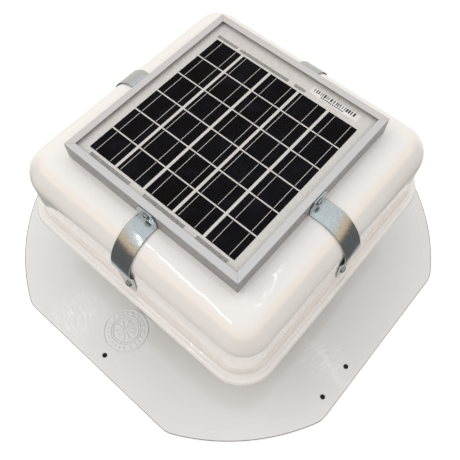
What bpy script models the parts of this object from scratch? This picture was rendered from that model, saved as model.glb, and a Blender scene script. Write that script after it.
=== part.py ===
"""Solar attic fan: a square pan hood over a round throat, with a small solar panel strapped on its top.

The frame is metres with +Z up.  The origin is the middle of the flashing's underside, which lies on the
roof.  Front is -Y, right is +X.  The fan wheel turns about the Z axis.
"""

import math

import bmesh
import bpy
from mathutils import Matrix, Vector

# Clearances
GAP = 0.0003             # between faces that touch on the real fan
HOLE_CLEARANCE = 0.0005  # hole radius over shank radius
CUT_LENGTH = 0.02        # length of the cylinders that cut holes

# Flashing: a disc clipped by four flats, drawn up into the throat
FLASHING_HALF = 0.312
FLASHING_BULGE = 0.034    # how far the round corners reach past the flats' distance
FLASHING_CORNER = 0.010
FLASHING_SHEET = 0.0012
THROAT_RADIUS = 0.165
THROAT_TOP = 0.138
THROAT_FILLET = 0.012
THROAT_BEAD = 0.003
THROAT_STEPS = 48
NAIL_HOLE_RADIUS = 0.003
NAIL_HOLE_INSET = 0.020   # from the flat edge to the hole's centre
NAIL_HOLES_WIDE = (-0.122, -0.062)   # places along the right and left flats

# Hood: a square pan, mouth down, with a flared lip
HOOD_TOP = 0.248
HOOD_WALL_HALF = 0.207
HOOD_CORNER = 0.042
HOOD_CORNER_TAPER = 0.8      # change of the corner's radius with the half size
HOOD_SHOULDER = 0.046
HOOD_SHEET = 0.0012
HOOD_FILLET = 0.008
LIP_TOP = 0.124
LIP_WIDTH = 0.014
LIP_ROLL = 0.005
LIP_SKIRT = 0.003
HOOD_SCREW_Z = 0.144

# Solar panel
PANEL_SIZE_X = 0.290
PANEL_SIZE_Y = 0.305
RAIL_HEIGHT = 0.028
RAIL_WALL = 0.0018
RAIL_LIP = 0.010
RAIL_LIP_SHEET = 0.0015
RAIL_FOOT = 0.014
RAIL_SCREW_RISE = 0.0126
GLASS_THICKNESS = 0.0032
LAMINATE_THICKNESS = 0.0010
KEY_LEG = 0.030
KEY_THICKNESS = 0.003
KEY_HEIGHT = 0.014

# Panel straps: bent strip from the rail over the shoulder to the hood's wall
STRAP_SHEET = 0.0016
STRAP_WIDTH = 0.033
STRAP_TAB_TOP_DROP = 0.004   # rail top down to the strap's upper end
STRAP_TAB_CHAMFER = 0.008    # height of the upper tab's cut corners
STRAP_CREASE_RUN = 0.012     # flat run past the start of the hood's shoulder
STRAP_CREASE = math.radians(20)
STRAP_BULGE = 0.0042         # how far the bend stands off the hood's wall
STRAP_BULGE_DROP = 0.012
STRAP_TAB_FLARE = 0.020      # height over which the lower tab narrows
STRAP_TAB_WAIST = 0.0153     # half width where the lower tab starts to narrow
STRAP_TAB_BOTTOM = 0.011     # hood screw down to the strap's lower end
STRAP_TAB_NARROW = 0.011     # half width of both strap ends

# Fasteners
PAN_HEAD_RADIUS = 0.0056
PAN_HEAD_HEIGHT = 0.0034
SCREW_RADIUS = 0.0022
NUT_RADIUS = 0.0046
NUT_HEIGHT = 0.0032
SCREW_TAIL = 0.0015
RAIL_SCREW_LENGTH = 0.012
RIVET_RADIUS = 0.0024
RIVET_HEAD_RADIUS = 0.0045
RIVET_HEAD_HEIGHT = 0.0016

# Hood legs
LEG_SHEET = 0.0015
LEG_WIDTH = 0.030
LEG_FOOT = 0.019
LEG_ABOVE_SCREW = 0.016
LEG_CHAMFER = 0.006
LEG_TIP_WIDTH = 0.018

# Exhaust screen
SCREEN_SHEET = 0.0008
SCREEN_TOP_INSET = 0.013     # from the hood's flat crown edge in to the screen
SCREEN_RIM = 0.008
SCREEN_POSTS = 24

# Junction box and lead
JUNCTION_X = 0.060
JUNCTION_Y = 0.044
JUNCTION_HEIGHT = 0.0132
JUNCTION_WALL = 0.0015
JUNCTION_EDGE_Y = 0.0525     # panel's back edge to the box's middle
LEAD_RADIUS = 0.00225
LEAD_EXIT_DROP = 0.0067      # laminate's underside down to the lead's axis
LEAD_RUN = 0.029             # junction box's wall to where the lead goes down
LEAD_TAIL = 0.004            # lead's stretch inside the junction box
LEAD_BEND = 0.0115
GLAND_RADIUS = 0.0048
GLAND_LENGTH = 0.008
GROMMET_HOLE_RADIUS = 0.0050
GROMMET_RADIUS = 0.0078
GROMMET_FLANGE = 0.0016
GROMMET_EDGE = 0.001

# Motor and its two crossed straps
MOTOR_STRAP_Z = 0.112
MOTOR_STRAP_SHEET = 0.0020
MOTOR_STRAP_WIDTH = 0.030
MOTOR_STRAP_TAB = 0.022
MOTOR_STRAP_RIVET_RISE = 0.013
MOTOR_RADIUS = 0.040
MOTOR_HEIGHT = 0.058
MOTOR_WALL = 0.002
MOTOR_FLOOR = 0.003
MOTOR_BOSS_RADIUS = 0.012
MOTOR_CAP_HEIGHT = 0.006
MOTOR_CAP_EDGE = 0.002
MOTOR_CAP_SPIGOT = 0.002
MOTOR_SEAT_SINK = 0.001      # lower bearing's seat below the motor's floor
MOTOR_SCREW_REACH = 0.003    # motor screws past the motor's floor
MOTOR_SCREW_PLACE = 0.010
MOTOR_GLAND_Y = 0.024
BEARING_RADIUS = 0.0080
BEARING_HEIGHT = 0.005
SHAFT_RADIUS = 0.003
ARMATURE_RADIUS = 0.024
ARMATURE_HEIGHT = 0.030
AIR_GAP = 0.001
MAGNET_HEIGHT = 0.034

# Fan wheel
WHEEL_TIP_CLEARANCE = 0.013
WHEEL_Z = 0.084              # middle of the wheel's disc
WHEEL_SHEET = 0.0016
WHEEL_DISC_RADIUS = 0.046
BLADE_COUNT = 5
BLADE_ROOT = 0.030
BLADE_ROOT_CHORD = 0.042
BLADE_TIP_CHORD = 0.092
BLADE_ROOT_PITCH = math.radians(32)
BLADE_TIP_PITCH = math.radians(17)
BLADE_CAMBER = 0.006
HUB_RADIUS = 0.011
HUB_FLANGE_RADIUS = 0.024
HUB_FLANGE = 0.003
HUB_BELOW = 0.018
SET_SCREW_RADIUS = 0.0020
SET_SCREW_RISE = 0.006
SET_SCREW_SINK = 0.0006
SET_SCREW_SOCKET = 0.001
SHAFT_TAIL = 0.003

# Sizes that follow from those above
FLASHING_RADIUS = FLASHING_HALF + FLASHING_BULGE
HOOD_CROWN = HOOD_WALL_HALF - HOOD_SHOULDER
SCREEN_TOP_RADIUS = HOOD_CROWN - SCREEN_TOP_INSET
WHEEL_RADIUS = THROAT_RADIUS - WHEEL_TIP_CLEARANCE
JUNCTION_CENTRE_Y = PANEL_SIZE_Y / 2 - JUNCTION_EDGE_Y
JUNCTION_FRONT_Y = JUNCTION_CENTRE_Y - JUNCTION_Y / 2
LEAD_DOWN_Y = JUNCTION_FRONT_Y - LEAD_RUN
RAIL_BOTTOM = HOOD_TOP + GAP
PANEL_TOP = RAIL_BOTTOM + RAIL_HEIGHT
RAIL_SCREW_Z = RAIL_BOTTOM + RAIL_SCREW_RISE
GLASS_TOP = PANEL_TOP - RAIL_LIP_SHEET - GAP
LAMINATE_TOP = GLASS_TOP - GLASS_THICKNESS - GAP
LAMINATE_BOTTOM = LAMINATE_TOP - LAMINATE_THICKNESS
LIP_HALF = HOOD_WALL_HALF + LIP_WIDTH
HOOD_INNER_HALF = HOOD_WALL_HALF - HOOD_SHEET
HOOD_CEILING = HOOD_TOP - HOOD_SHEET
LEAD_Z = LAMINATE_BOTTOM - LEAD_EXIT_DROP
LEAD_HOLE_RADIUS = LEAD_RADIUS + GAP
MOTOR_BOTTOM = MOTOR_STRAP_Z + 2 * (MOTOR_STRAP_SHEET + GAP)
MOTOR_TOP = MOTOR_BOTTOM + MOTOR_HEIGHT
RIVET_Z = MOTOR_STRAP_Z + MOTOR_STRAP_RIVET_RISE
SCREW_HOLE = SCREW_RADIUS + HOLE_CLEARANCE
CAP_TOP = MOTOR_TOP + GAP + MOTOR_CAP_HEIGHT
SHAFT_HOLE = SHAFT_RADIUS + GAP
SIDES = {"front": -90, "right": 0, "back": 90, "left": 180}
HALF_ALONG = {
    "front": PANEL_SIZE_Y / 2, "back": PANEL_SIZE_Y / 2,
    "right": PANEL_SIZE_X / 2, "left": PANEL_SIZE_X / 2,
}


def new_collection(name):
    collection = bpy.data.collections.new(name)
    bpy.context.scene.collection.children.link(collection)
    return collection


def new_material(name, colour, roughness, metallic):
    made = bpy.data.materials.new(name)
    made.use_nodes = True
    shader = made.node_tree.nodes["Principled BSDF"]
    shader.inputs["Base Color"].default_value = (*colour, 1)
    shader.inputs["Roughness"].default_value = roughness
    shader.inputs["Metallic"].default_value = metallic
    return made


for leftover in list(bpy.data.objects):
    bpy.data.objects.remove(leftover, do_unlink=True)

PARTS = new_collection("solar_attic_fan")
CUTTERS = new_collection("solar_attic_fan_cutters")
MATERIALS = {
    "white_enamel": new_material("white_enamel", (0.83, 0.81, 0.77), 0.15, 0.0),
    "grey_enamel": new_material("grey_enamel", (0.78, 0.78, 0.77), 0.20, 0.0),
    "zinc_steel": new_material("zinc_steel", (0.62, 0.64, 0.65), 0.35, 1.0),
    "anodised": new_material("anodised", (0.74, 0.74, 0.75), 0.40, 1.0),
    "solar_glass": new_material("solar_glass", (0.30, 0.32, 0.34), 0.08, 0.0),
    "cell_sheet": new_material("cell_sheet", (0.02, 0.02, 0.03), 0.30, 0.0),
    "black_plastic": new_material("black_plastic", (0.03, 0.03, 0.03), 0.50, 0.0),
    "black_rubber": new_material("black_rubber", (0.02, 0.02, 0.02), 0.75, 0.0),
    "bearing_steel": new_material("bearing_steel", (0.55, 0.55, 0.56), 0.25, 1.0),
    "core_steel": new_material("core_steel", (0.30, 0.28, 0.27), 0.50, 1.0),
    "wheel_aluminium": new_material("wheel_aluminium", (0.75, 0.76, 0.77), 0.35, 1.0),
}


def finish(name, mesh, material, smooth=False, collection=PARTS):
    """Put a mesh in the scene as one named object."""
    made = bpy.data.objects.new(name, mesh)
    mesh.name = name
    if material:
        mesh.materials.append(MATERIALS[material])
    if smooth:
        mesh.shade_smooth()
        mesh.set_sharp_from_angle(angle=math.radians(30))
    collection.objects.link(made)
    return made


def mesh_from(bm):
    mesh = bpy.data.meshes.new("shape")
    bm.to_mesh(mesh)
    bm.free()
    return mesh


def cutter(name, bm):
    made = finish(name, mesh_from(bm), None, collection=CUTTERS)
    made.hide_render = True
    made.display_type = "WIRE"
    return made


def add_boolean(target, other, operation="DIFFERENCE"):
    cut = target.modifiers.new(other.name, "BOOLEAN")
    cut.operation = operation
    cut.solver = "EXACT"
    cut.object = other


def add_solidify(target, thickness, offset):
    wall = target.modifiers.new("wall", "SOLIDIFY")
    wall.thickness = thickness
    wall.offset = offset
    wall.use_even_offset = True


def arc(centre, radius, start, stop, steps):
    """Points of an arc in a flat (a, b) plane, angles in degrees."""
    turns = [math.radians(start + (stop - start) * i / steps) for i in range(steps + 1)]
    return [(centre[0] + radius * math.cos(t), centre[1] + radius * math.sin(t)) for t in turns]


def turned(name, profile, material, steps=32, closed=True, turn=None):
    """Turn a profile of (radius, z) points about Z.

    A closed profile makes a ring.  An open one starts and ends on the axis, top first.
    """
    mesh = bpy.data.meshes.new("shape")
    pairs = list(zip(profile, profile[1:] + profile[:1]))
    area = sum(a[0] * b[1] - b[0] * a[1] for a, b in pairs)
    if closed and area > 0:
        profile = profile[::-1]
    edges = [(i, i + 1) for i in range(len(profile) - 1)]
    if closed:
        edges.append((len(profile) - 1, 0))
    mesh.from_pydata([(r, 0, z) for r, z in profile], edges, [])
    made = finish(name, mesh, material)
    screw = made.modifiers.new("turn", "SCREW")
    screw.axis = "Z"
    screw.steps = steps
    screw.render_steps = steps
    screw.use_merge_vertices = True
    screw.merge_threshold = 0.00001
    screw.use_smooth_shade = True
    if turn:
        made.matrix_world = turn
    return made


def ring(name, inner, outer, bottom, top, material, steps=32):
    return turned(name, [(outer, top), (outer, bottom), (inner, bottom), (inner, top)], material, steps)


def cylinders(name, places, segments=16):
    """One cutter of separate cylinders, each from a matrix and a radius."""
    bm = bmesh.new()
    for place, radius in places:
        bmesh.ops.create_cone(bm, cap_ends=True, segments=segments, radius1=radius, radius2=radius,
                              depth=CUT_LENGTH, matrix=place)
    return cutter(name, bm)


def extruded(bm, outline, travel):
    """A prism in bm: the outline's points as one face, drawn out along travel."""
    base = bm.faces.new([bm.verts.new(point) for point in outline])
    grown = bmesh.ops.extrude_face_region(bm, geom=[base])["geom"]
    bmesh.ops.translate(bm, vec=travel, verts=[v for v in grown if isinstance(v, bmesh.types.BMVert)])
    bmesh.ops.recalc_face_normals(bm, faces=bm.faces)


def block(name, size, place, material):
    bm = bmesh.new()
    bmesh.ops.create_cube(bm, size=1)
    bmesh.ops.scale(bm, vec=size, verts=bm.verts)
    made = finish(name, mesh_from(bm), material)
    made.location = place
    return made


def outward(angle, reach, z):
    """Matrix whose own Z points away from the fan's axis, at a side's angle in degrees."""
    turn = Matrix.Rotation(math.radians(angle), 4, "Z")
    return turn @ Matrix.Translation((reach, 0, z)) @ Matrix.Rotation(math.pi / 2, 4, "Y")


def strip(name, rows, sheet, material, grow=1):
    """A bent strip across Y: rows of (x, z, half width), thickened to the side that faces +X at first."""
    bm = bmesh.new()
    pairs = [(bm.verts.new((x, -half, z)), bm.verts.new((x, half, z))) for x, z, half in rows]
    for (a, b), (c, d) in zip(pairs, pairs[1:]):
        bm.faces.new((a, c, d, b))
    made = finish(name, mesh_from(bm), material)
    add_solidify(made, sheet, grow)
    return made


def rounded_square(half, radius, steps=5):
    """Corner arcs of a square with round corners, anticlockwise."""
    flat = half - radius
    points = []
    for i, (sx, sy) in enumerate(((1, 1), (-1, 1), (-1, -1), (1, -1))):
        points += arc((sx * flat, sy * flat), radius, 90 * i, 90 * i + 90, steps)
    return points


# Flashing with its throat

def flashing_outline():
    half_flat = math.sqrt(FLASHING_RADIUS ** 2 - FLASHING_HALF ** 2)
    spread = math.degrees(math.atan2(half_flat, FLASHING_HALF))
    points = []
    for start in (0, 90, 180, 270):
        points += arc((0, 0), FLASHING_RADIUS, start + spread, start + 90 - spread, 8)
    return points


def make_flashing():
    rise = FLASHING_SHEET
    bend = THROAT_RADIUS + rise + THROAT_FILLET
    rim = FLASHING_RADIUS + CUT_LENGTH
    outside = [(rim, rise)]
    outside += arc((bend, rise + THROAT_FILLET), THROAT_FILLET, 270, 180, 3)
    outside += [(THROAT_RADIUS + rise, THROAT_TOP - 2 * THROAT_BEAD)]
    outside += [(THROAT_RADIUS + rise + THROAT_BEAD, THROAT_TOP - THROAT_BEAD)]
    outside += [(THROAT_RADIUS + rise + THROAT_BEAD, THROAT_TOP)]
    inside = [(THROAT_RADIUS, THROAT_TOP)]
    inside += arc((bend, rise + THROAT_FILLET), THROAT_FILLET + rise, 180, 270, 3)
    inside += [(rim, 0)]
    made = turned("flashing", outside + inside, "grey_enamel", steps=THROAT_STEPS)

    bm = bmesh.new()
    base = [(x, y, -CUT_LENGTH) for x, y in flashing_outline()]
    extruded(bm, base, (0, 0, THROAT_TOP + 2 * CUT_LENGTH))
    upright = [e for e in bm.edges if e.verts[0].co.z * e.verts[1].co.z < 0]
    sharp = [e for e in upright if math.degrees(e.calc_face_angle()) > 12]
    bmesh.ops.bevel(bm, geom=sharp, offset=FLASHING_CORNER, segments=3, profile=0.5, affect="EDGES")
    add_boolean(made, cutter("flashing_outline", bm), "INTERSECT")

    edge = FLASHING_HALF - NAIL_HOLE_INSET
    places = [(sx * edge, sx * y) for sx in (1, -1) for y in NAIL_HOLES_WIDE]
    places += [(0, edge), (0, -edge)]
    holes = [(Matrix.Translation((x, y, 0)), NAIL_HOLE_RADIUS) for x, y in places]
    holes += [(outward(angle, THROAT_RADIUS, RIVET_Z), RIVET_RADIUS + GAP) for angle in SIDES.values()]
    add_boolean(made, cylinders("flashing_holes", holes))


# Hood

def hood_section():
    """The hood's outer surface as (half size, corner radius, z), from the flat top to the lip's edge."""
    points = arc((HOOD_CROWN, HOOD_TOP - HOOD_SHOULDER), HOOD_SHOULDER, 90, 0, 5)
    points += arc((HOOD_WALL_HALF + HOOD_FILLET, LIP_TOP + HOOD_FILLET), HOOD_FILLET, 180, 270, 3)
    points += arc((LIP_HALF - LIP_ROLL, LIP_TOP - LIP_ROLL), LIP_ROLL, 90, 0, 3)
    points += [(LIP_HALF, LIP_TOP - LIP_ROLL - LIP_SKIRT)]
    return [(half, HOOD_CORNER + HOOD_CORNER_TAPER * (half - HOOD_WALL_HALF), z) for half, z in points]


def make_hood():
    bm = bmesh.new()
    loops = []
    for half, corner, z in hood_section():
        verts = [bm.verts.new((x, y, z)) for x, y in rounded_square(half, corner)]
        loops.append(verts)
    bm.faces.new(loops[0])
    for upper, lower in zip(loops, loops[1:]):
        count = len(upper)
        for i in range(count):
            j = (i + 1) % count
            bm.faces.new((upper[i], lower[i], lower[j], upper[j]))
    made = finish("hood", mesh_from(bm), "white_enamel", smooth=True)
    add_solidify(made, HOOD_SHEET, -1)
    holes = [(outward(angle, HOOD_WALL_HALF, HOOD_SCREW_Z), SCREW_HOLE) for angle in SIDES.values()]
    holes.append((Matrix.Translation((0, LEAD_DOWN_Y, HOOD_TOP)), GROMMET_HOLE_RADIUS))
    add_boolean(made, cylinders("hood_holes", holes))


# Legs that carry the hood, spot-welded to the flashing

def make_leg(side, angle):
    back = HOOD_INNER_HALF - GAP
    foot_z = FLASHING_SHEET + GAP
    half = LEG_WIDTH / 2
    top = HOOD_SCREW_Z + LEG_ABOVE_SCREW
    rows = [(back - LEG_FOOT, foot_z, half), (back, foot_z, half),
            (back, top - LEG_CHAMFER, half), (back, top, LEG_TIP_WIDTH / 2)]
    made = strip(f"hood_leg_{side}", rows, LEG_SHEET, "zinc_steel")
    made.rotation_euler.z = math.radians(angle)
    hole = [(outward(angle, back, HOOD_SCREW_Z), SCREW_HOLE)]
    add_boolean(made, cylinders(f"hood_leg_hole_{side}", hole, 12))


# Exhaust screen between the throat and the hood's ceiling

def make_screen():
    bottom = THROAT_TOP + GAP
    top = HOOD_CEILING - GAP
    bottom_radius = THROAT_RADIUS + THROAT_BEAD
    lean = (SCREEN_TOP_RADIUS - bottom_radius) / (top - bottom)
    heights = [bottom, bottom + SCREEN_RIM, top - SCREEN_RIM, top]
    count = SCREEN_POSTS * 3
    bm = bmesh.new()
    loops = []
    for z in heights:
        radius = bottom_radius + lean * (z - bottom)
        circle = arc((0, 0), radius, 0, 360 - 360 / count, count - 1)
        loops.append([bm.verts.new((x, y, z)) for x, y in circle])
    for level, (lower, upper) in enumerate(zip(loops, loops[1:])):
        for i in range(count):
            if level == 1 and i % 3:
                continue
            j = (i + 1) % count
            bm.faces.new((lower[i], lower[j], upper[j], upper[i]))
    made = finish("exhaust_screen", mesh_from(bm), "zinc_steel")
    add_solidify(made, SCREEN_SHEET, -1)


# Solar panel

def rail_section():
    """Points of a rail's section as (distance in from the outer face, height)."""
    lip_bottom = RAIL_HEIGHT - RAIL_LIP_SHEET
    shelf_top = LAMINATE_BOTTOM - GAP - RAIL_BOTTOM
    shelf_bottom = shelf_top - RAIL_LIP_SHEET
    return [
        (0, 0), (RAIL_FOOT, 0), (RAIL_FOOT, RAIL_LIP_SHEET), (RAIL_WALL, RAIL_LIP_SHEET),
        (RAIL_WALL, shelf_bottom), (RAIL_LIP, shelf_bottom), (RAIL_LIP, shelf_top), (RAIL_WALL, shelf_top),
        (RAIL_WALL, lip_bottom), (RAIL_LIP, lip_bottom), (RAIL_LIP, RAIL_HEIGHT), (0, RAIL_HEIGHT),
    ]


def make_rail(side, angle):
    reach = HALF_ALONG[side]
    length_half = (PANEL_SIZE_X + PANEL_SIZE_Y) / 2 - reach
    start = [(reach - inset, -length_half, RAIL_BOTTOM + z) for inset, z in rail_section()]
    bm = bmesh.new()
    extruded(bm, start, (0, 2 * length_half, 0))
    for vert in bm.verts:
        mitre = reach - vert.co.x + GAP / math.sqrt(2)
        vert.co.y -= math.copysign(mitre, vert.co.y)
    made = finish(f"frame_rail_{side}", mesh_from(bm), "anodised")
    made.rotation_euler.z = math.radians(angle)
    hole = [(outward(angle, reach, RAIL_SCREW_Z), SCREW_RADIUS + GAP)]
    add_boolean(made, cylinders(f"frame_rail_hole_{side}", hole, 12))


def make_frame_key(name, sx, sy):
    """An angle piece that holds two rails together inside a mitred corner."""
    inset = RAIL_WALL + GAP
    leg, wall = KEY_LEG, KEY_THICKNESS
    outline = [(0, 0), (leg, 0), (leg, wall), (wall, wall), (wall, leg), (0, leg)]
    x0, y0 = PANEL_SIZE_X / 2 - inset, PANEL_SIZE_Y / 2 - inset
    z0 = RAIL_BOTTOM + RAIL_LIP_SHEET + GAP
    bm = bmesh.new()
    extruded(bm, [(sx * (x0 - a), sy * (y0 - b), z0) for a, b in outline], (0, 0, KEY_HEIGHT))
    finish(name, mesh_from(bm), "zinc_steel")


def make_sheet(name, thickness, top, material):
    inset = RAIL_WALL + HOLE_CLEARANCE
    size = (PANEL_SIZE_X - 2 * inset, PANEL_SIZE_Y - 2 * inset, thickness)
    block(name, size, (0, 0, top - thickness / 2), material)


# Panel straps

def strap_rows(reach):
    """The strap's hood side as (x, z, half width), from the rail's side over the shoulder to the wall."""
    half = STRAP_WIDTH / 2
    tab_x = reach + GAP
    flat_z = HOOD_TOP + GAP
    tab_top = PANEL_TOP - STRAP_TAB_TOP_DROP
    wall_x = HOOD_WALL_HALF + GAP
    crease_x = HOOD_CROWN + STRAP_CREASE_RUN
    bulge_x = wall_x + STRAP_BULGE
    radius = (bulge_x - crease_x) / (1 - math.sin(STRAP_CREASE))
    rows = [(tab_x, tab_top, STRAP_TAB_NARROW), (tab_x, tab_top - STRAP_TAB_CHAMFER, half),
            (tab_x, flat_z, half), (crease_x, flat_z, half)]
    steps = 7
    for i in range(1, steps + 1):
        heading = STRAP_CREASE + (math.pi / 2 - STRAP_CREASE) * i / steps
        rows.append((crease_x + radius * (math.sin(heading) - math.sin(STRAP_CREASE)),
                     flat_z - radius * (math.cos(STRAP_CREASE) - math.cos(heading)), half))
    bulge_z = rows[-1][1]
    tab_end = HOOD_SCREW_Z - STRAP_TAB_BOTTOM
    rows += [(wall_x, bulge_z - STRAP_BULGE_DROP, half),
             (wall_x, tab_end + STRAP_TAB_FLARE, STRAP_TAB_WAIST),
             (wall_x, tab_end, STRAP_TAB_NARROW)]
    return rows


def make_strap(side, angle):
    reach = HALF_ALONG[side]
    made = strip(f"panel_strap_{side}", strap_rows(reach), STRAP_SHEET, "zinc_steel")
    made.rotation_euler.z = math.radians(angle)
    holes = [(outward(angle, reach, RAIL_SCREW_Z), SCREW_HOLE),
             (outward(angle, HOOD_WALL_HALF, HOOD_SCREW_Z), SCREW_HOLE)]
    add_boolean(made, cylinders(f"panel_strap_holes_{side}", holes, 12))


# Fasteners, turned about their own Z with the head up

def pan_screw(name, length, place):
    crown = 0.35 * PAN_HEAD_HEIGHT
    radius, height = PAN_HEAD_RADIUS, PAN_HEAD_HEIGHT
    profile = [(0, height), (0.55 * radius, height - 0.1 * crown), (0.85 * radius, height - crown),
               (radius, 0.4 * height), (radius, 0), (SCREW_RADIUS, 0), (SCREW_RADIUS, -length), (0, -length)]
    turned(name, profile, "zinc_steel", 12, closed=False, turn=place)


def make_side_fasteners(side, angle):
    reach = HALF_ALONG[side]
    rail_seat = reach + 2 * GAP + STRAP_SHEET
    pan_screw(f"rail_screw_{side}", RAIL_SCREW_LENGTH, outward(angle, rail_seat, RAIL_SCREW_Z))

    hood_seat = HOOD_WALL_HALF + 2 * GAP + STRAP_SHEET
    nut_face = HOOD_INNER_HALF - GAP - LEG_SHEET - GAP
    grip = hood_seat - nut_face
    pan_screw(f"hood_screw_{side}", grip + NUT_HEIGHT + SCREW_TAIL, outward(angle, hood_seat, HOOD_SCREW_Z))
    nut = ring(f"hood_nut_{side}", SCREW_RADIUS + GAP, NUT_RADIUS, -NUT_HEIGHT, 0, "zinc_steel", 12)
    nut.matrix_world = outward(angle, nut_face, HOOD_SCREW_Z)

    inner = tab_face() - MOTOR_STRAP_SHEET - GAP
    outer = THROAT_RADIUS + FLASHING_SHEET + GAP
    span = outer - inner
    head, height = RIVET_HEAD_RADIUS, RIVET_HEAD_HEIGHT
    profile = [(0, height), (0.7 * head, 0.7 * height), (head, 0), (RIVET_RADIUS, 0),
               (RIVET_RADIUS, -span), (head, -span), (0.7 * head, -span - 0.7 * height), (0, -span - height)]
    turned(f"strap_rivet_{side}", profile, "zinc_steel", 12, closed=False,
           turn=outward(angle, outer, RIVET_Z))


# Junction box, lead and grommet

def make_junction():
    top = LAMINATE_BOTTOM - GAP
    bm = bmesh.new()
    bmesh.ops.create_cube(bm, size=1)
    bmesh.ops.scale(bm, vec=(JUNCTION_X, JUNCTION_Y, JUNCTION_HEIGHT), verts=bm.verts)
    mouth = min(bm.faces, key=lambda face: face.calc_center_median().z)
    bmesh.ops.delete(bm, geom=[mouth], context="FACES_ONLY")
    box = finish("junction_box", mesh_from(bm), "black_plastic")
    box.location = (0, JUNCTION_CENTRE_Y, top - JUNCTION_HEIGHT / 2)
    add_solidify(box, JUNCTION_WALL, -1)
    along_y = Matrix.Rotation(math.pi / 2, 4, "X")
    exit_hole = [(Matrix.Translation((0, JUNCTION_FRONT_Y, LEAD_Z)) @ along_y, LEAD_HOLE_RADIUS)]
    add_boolean(box, cylinders("junction_exit", exit_hole, 12))
    lid_size = (JUNCTION_X, JUNCTION_Y, JUNCTION_WALL)
    lid_z = top - JUNCTION_HEIGHT - GAP - JUNCTION_WALL / 2
    block("junction_lid", lid_size, (0, JUNCTION_CENTRE_Y, lid_z), "black_plastic")

    gland = [(0.8 * GLAND_RADIUS, GLAND_LENGTH), (GLAND_RADIUS, 0.6 * GLAND_LENGTH), (GLAND_RADIUS, 0),
             (LEAD_HOLE_RADIUS, 0), (LEAD_HOLE_RADIUS, GLAND_LENGTH)]
    turned("junction_gland", gland, "black_plastic", 12,
           turn=Matrix.Translation((0, JUNCTION_FRONT_Y - GAP, LEAD_Z)) @ along_y)
    motor_gland = Matrix.Translation((0, MOTOR_GLAND_Y, CAP_TOP + GAP))
    turned("motor_gland", gland, "black_rubber", 12, turn=motor_gland)


def lead_route():
    """The lead's own points: out of the junction box, down through the hood and into the motor's gland."""
    bend_y = LEAD_DOWN_Y + LEAD_BEND
    points = [(JUNCTION_FRONT_Y + JUNCTION_WALL + LEAD_TAIL, LEAD_Z)]
    points += arc((bend_y, LEAD_Z - LEAD_BEND), LEAD_BEND, 90, 180, 4)
    drop = HOOD_CEILING - GROMMET_FLANGE - 2 * LEAD_RADIUS
    landing = CAP_TOP + GLAND_LENGTH + 2 * LEAD_RADIUS
    steps = 6
    for i in range(steps):
        share = i / steps
        eased = share * share * (3 - 2 * share)
        y = LEAD_DOWN_Y + (MOTOR_GLAND_Y - LEAD_DOWN_Y) * eased
        points.append((y, drop + (landing - drop) * share))
    points += [(MOTOR_GLAND_Y, landing), (MOTOR_GLAND_Y, CAP_TOP + GAP)]
    return [Vector((0, y, z)) for y, z in points]


def make_lead():
    curve = bpy.data.curves.new("panel_lead", "CURVE")
    curve.dimensions = "3D"
    curve.bevel_depth = LEAD_RADIUS
    curve.bevel_resolution = 2
    curve.use_fill_caps = True
    route = lead_route()
    spline = curve.splines.new("POLY")
    spline.points.add(len(route) - 1)
    for point, place in zip(spline.points, route):
        point.co = (*place, 1)
    curve.materials.append(MATERIALS["black_rubber"])
    PARTS.objects.link(bpy.data.objects.new("panel_lead", curve))


def make_grommet():
    groove = GROMMET_HOLE_RADIUS - GAP
    upper = HOOD_TOP + GAP
    lower = HOOD_CEILING - GAP
    top, bottom = upper + GROMMET_FLANGE, lower - GROMMET_FLANGE
    edge = GROMMET_RADIUS - GROMMET_EDGE
    profile = [(LEAD_HOLE_RADIUS, top), (edge, top), (GROMMET_RADIUS, upper), (groove, upper),
               (groove, lower), (GROMMET_RADIUS, lower), (edge, bottom), (LEAD_HOLE_RADIUS, bottom)]
    turned("lead_grommet", profile, "black_rubber", 12, turn=Matrix.Translation((0, LEAD_DOWN_Y, 0)))


# Motor straps and motor

def tab_face():
    """Distance from the axis to a flat tab whose edges just clear the round throat."""
    return math.sqrt((THROAT_RADIUS - GAP) ** 2 - (MOTOR_STRAP_WIDTH / 2) ** 2)


def motor_screw_places():
    return [(MOTOR_SCREW_PLACE, MOTOR_SCREW_PLACE), (-MOTOR_SCREW_PLACE, -MOTOR_SCREW_PLACE)]


def make_motor_strap(name, angle, z):
    half = MOTOR_STRAP_WIDTH / 2
    reach = tab_face()
    top = MOTOR_STRAP_Z + MOTOR_STRAP_TAB
    rows = [(-reach, top, half), (-reach, z, half), (reach, z, half), (reach, top, half)]
    made = strip(name, rows, MOTOR_STRAP_SHEET, "zinc_steel")
    made.rotation_euler.z = math.radians(angle)
    holes = [(Matrix.Translation((0, 0, z)), HUB_RADIUS)]
    holes += [(Matrix.Translation((x, y, z)), SCREW_RADIUS + GAP) for x, y in motor_screw_places()]
    holes += [(outward(angle + turn, reach, RIVET_Z), RIVET_RADIUS + GAP) for turn in (0, 180)]
    add_boolean(made, cylinders(f"{name}_holes", holes, 12))


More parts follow.
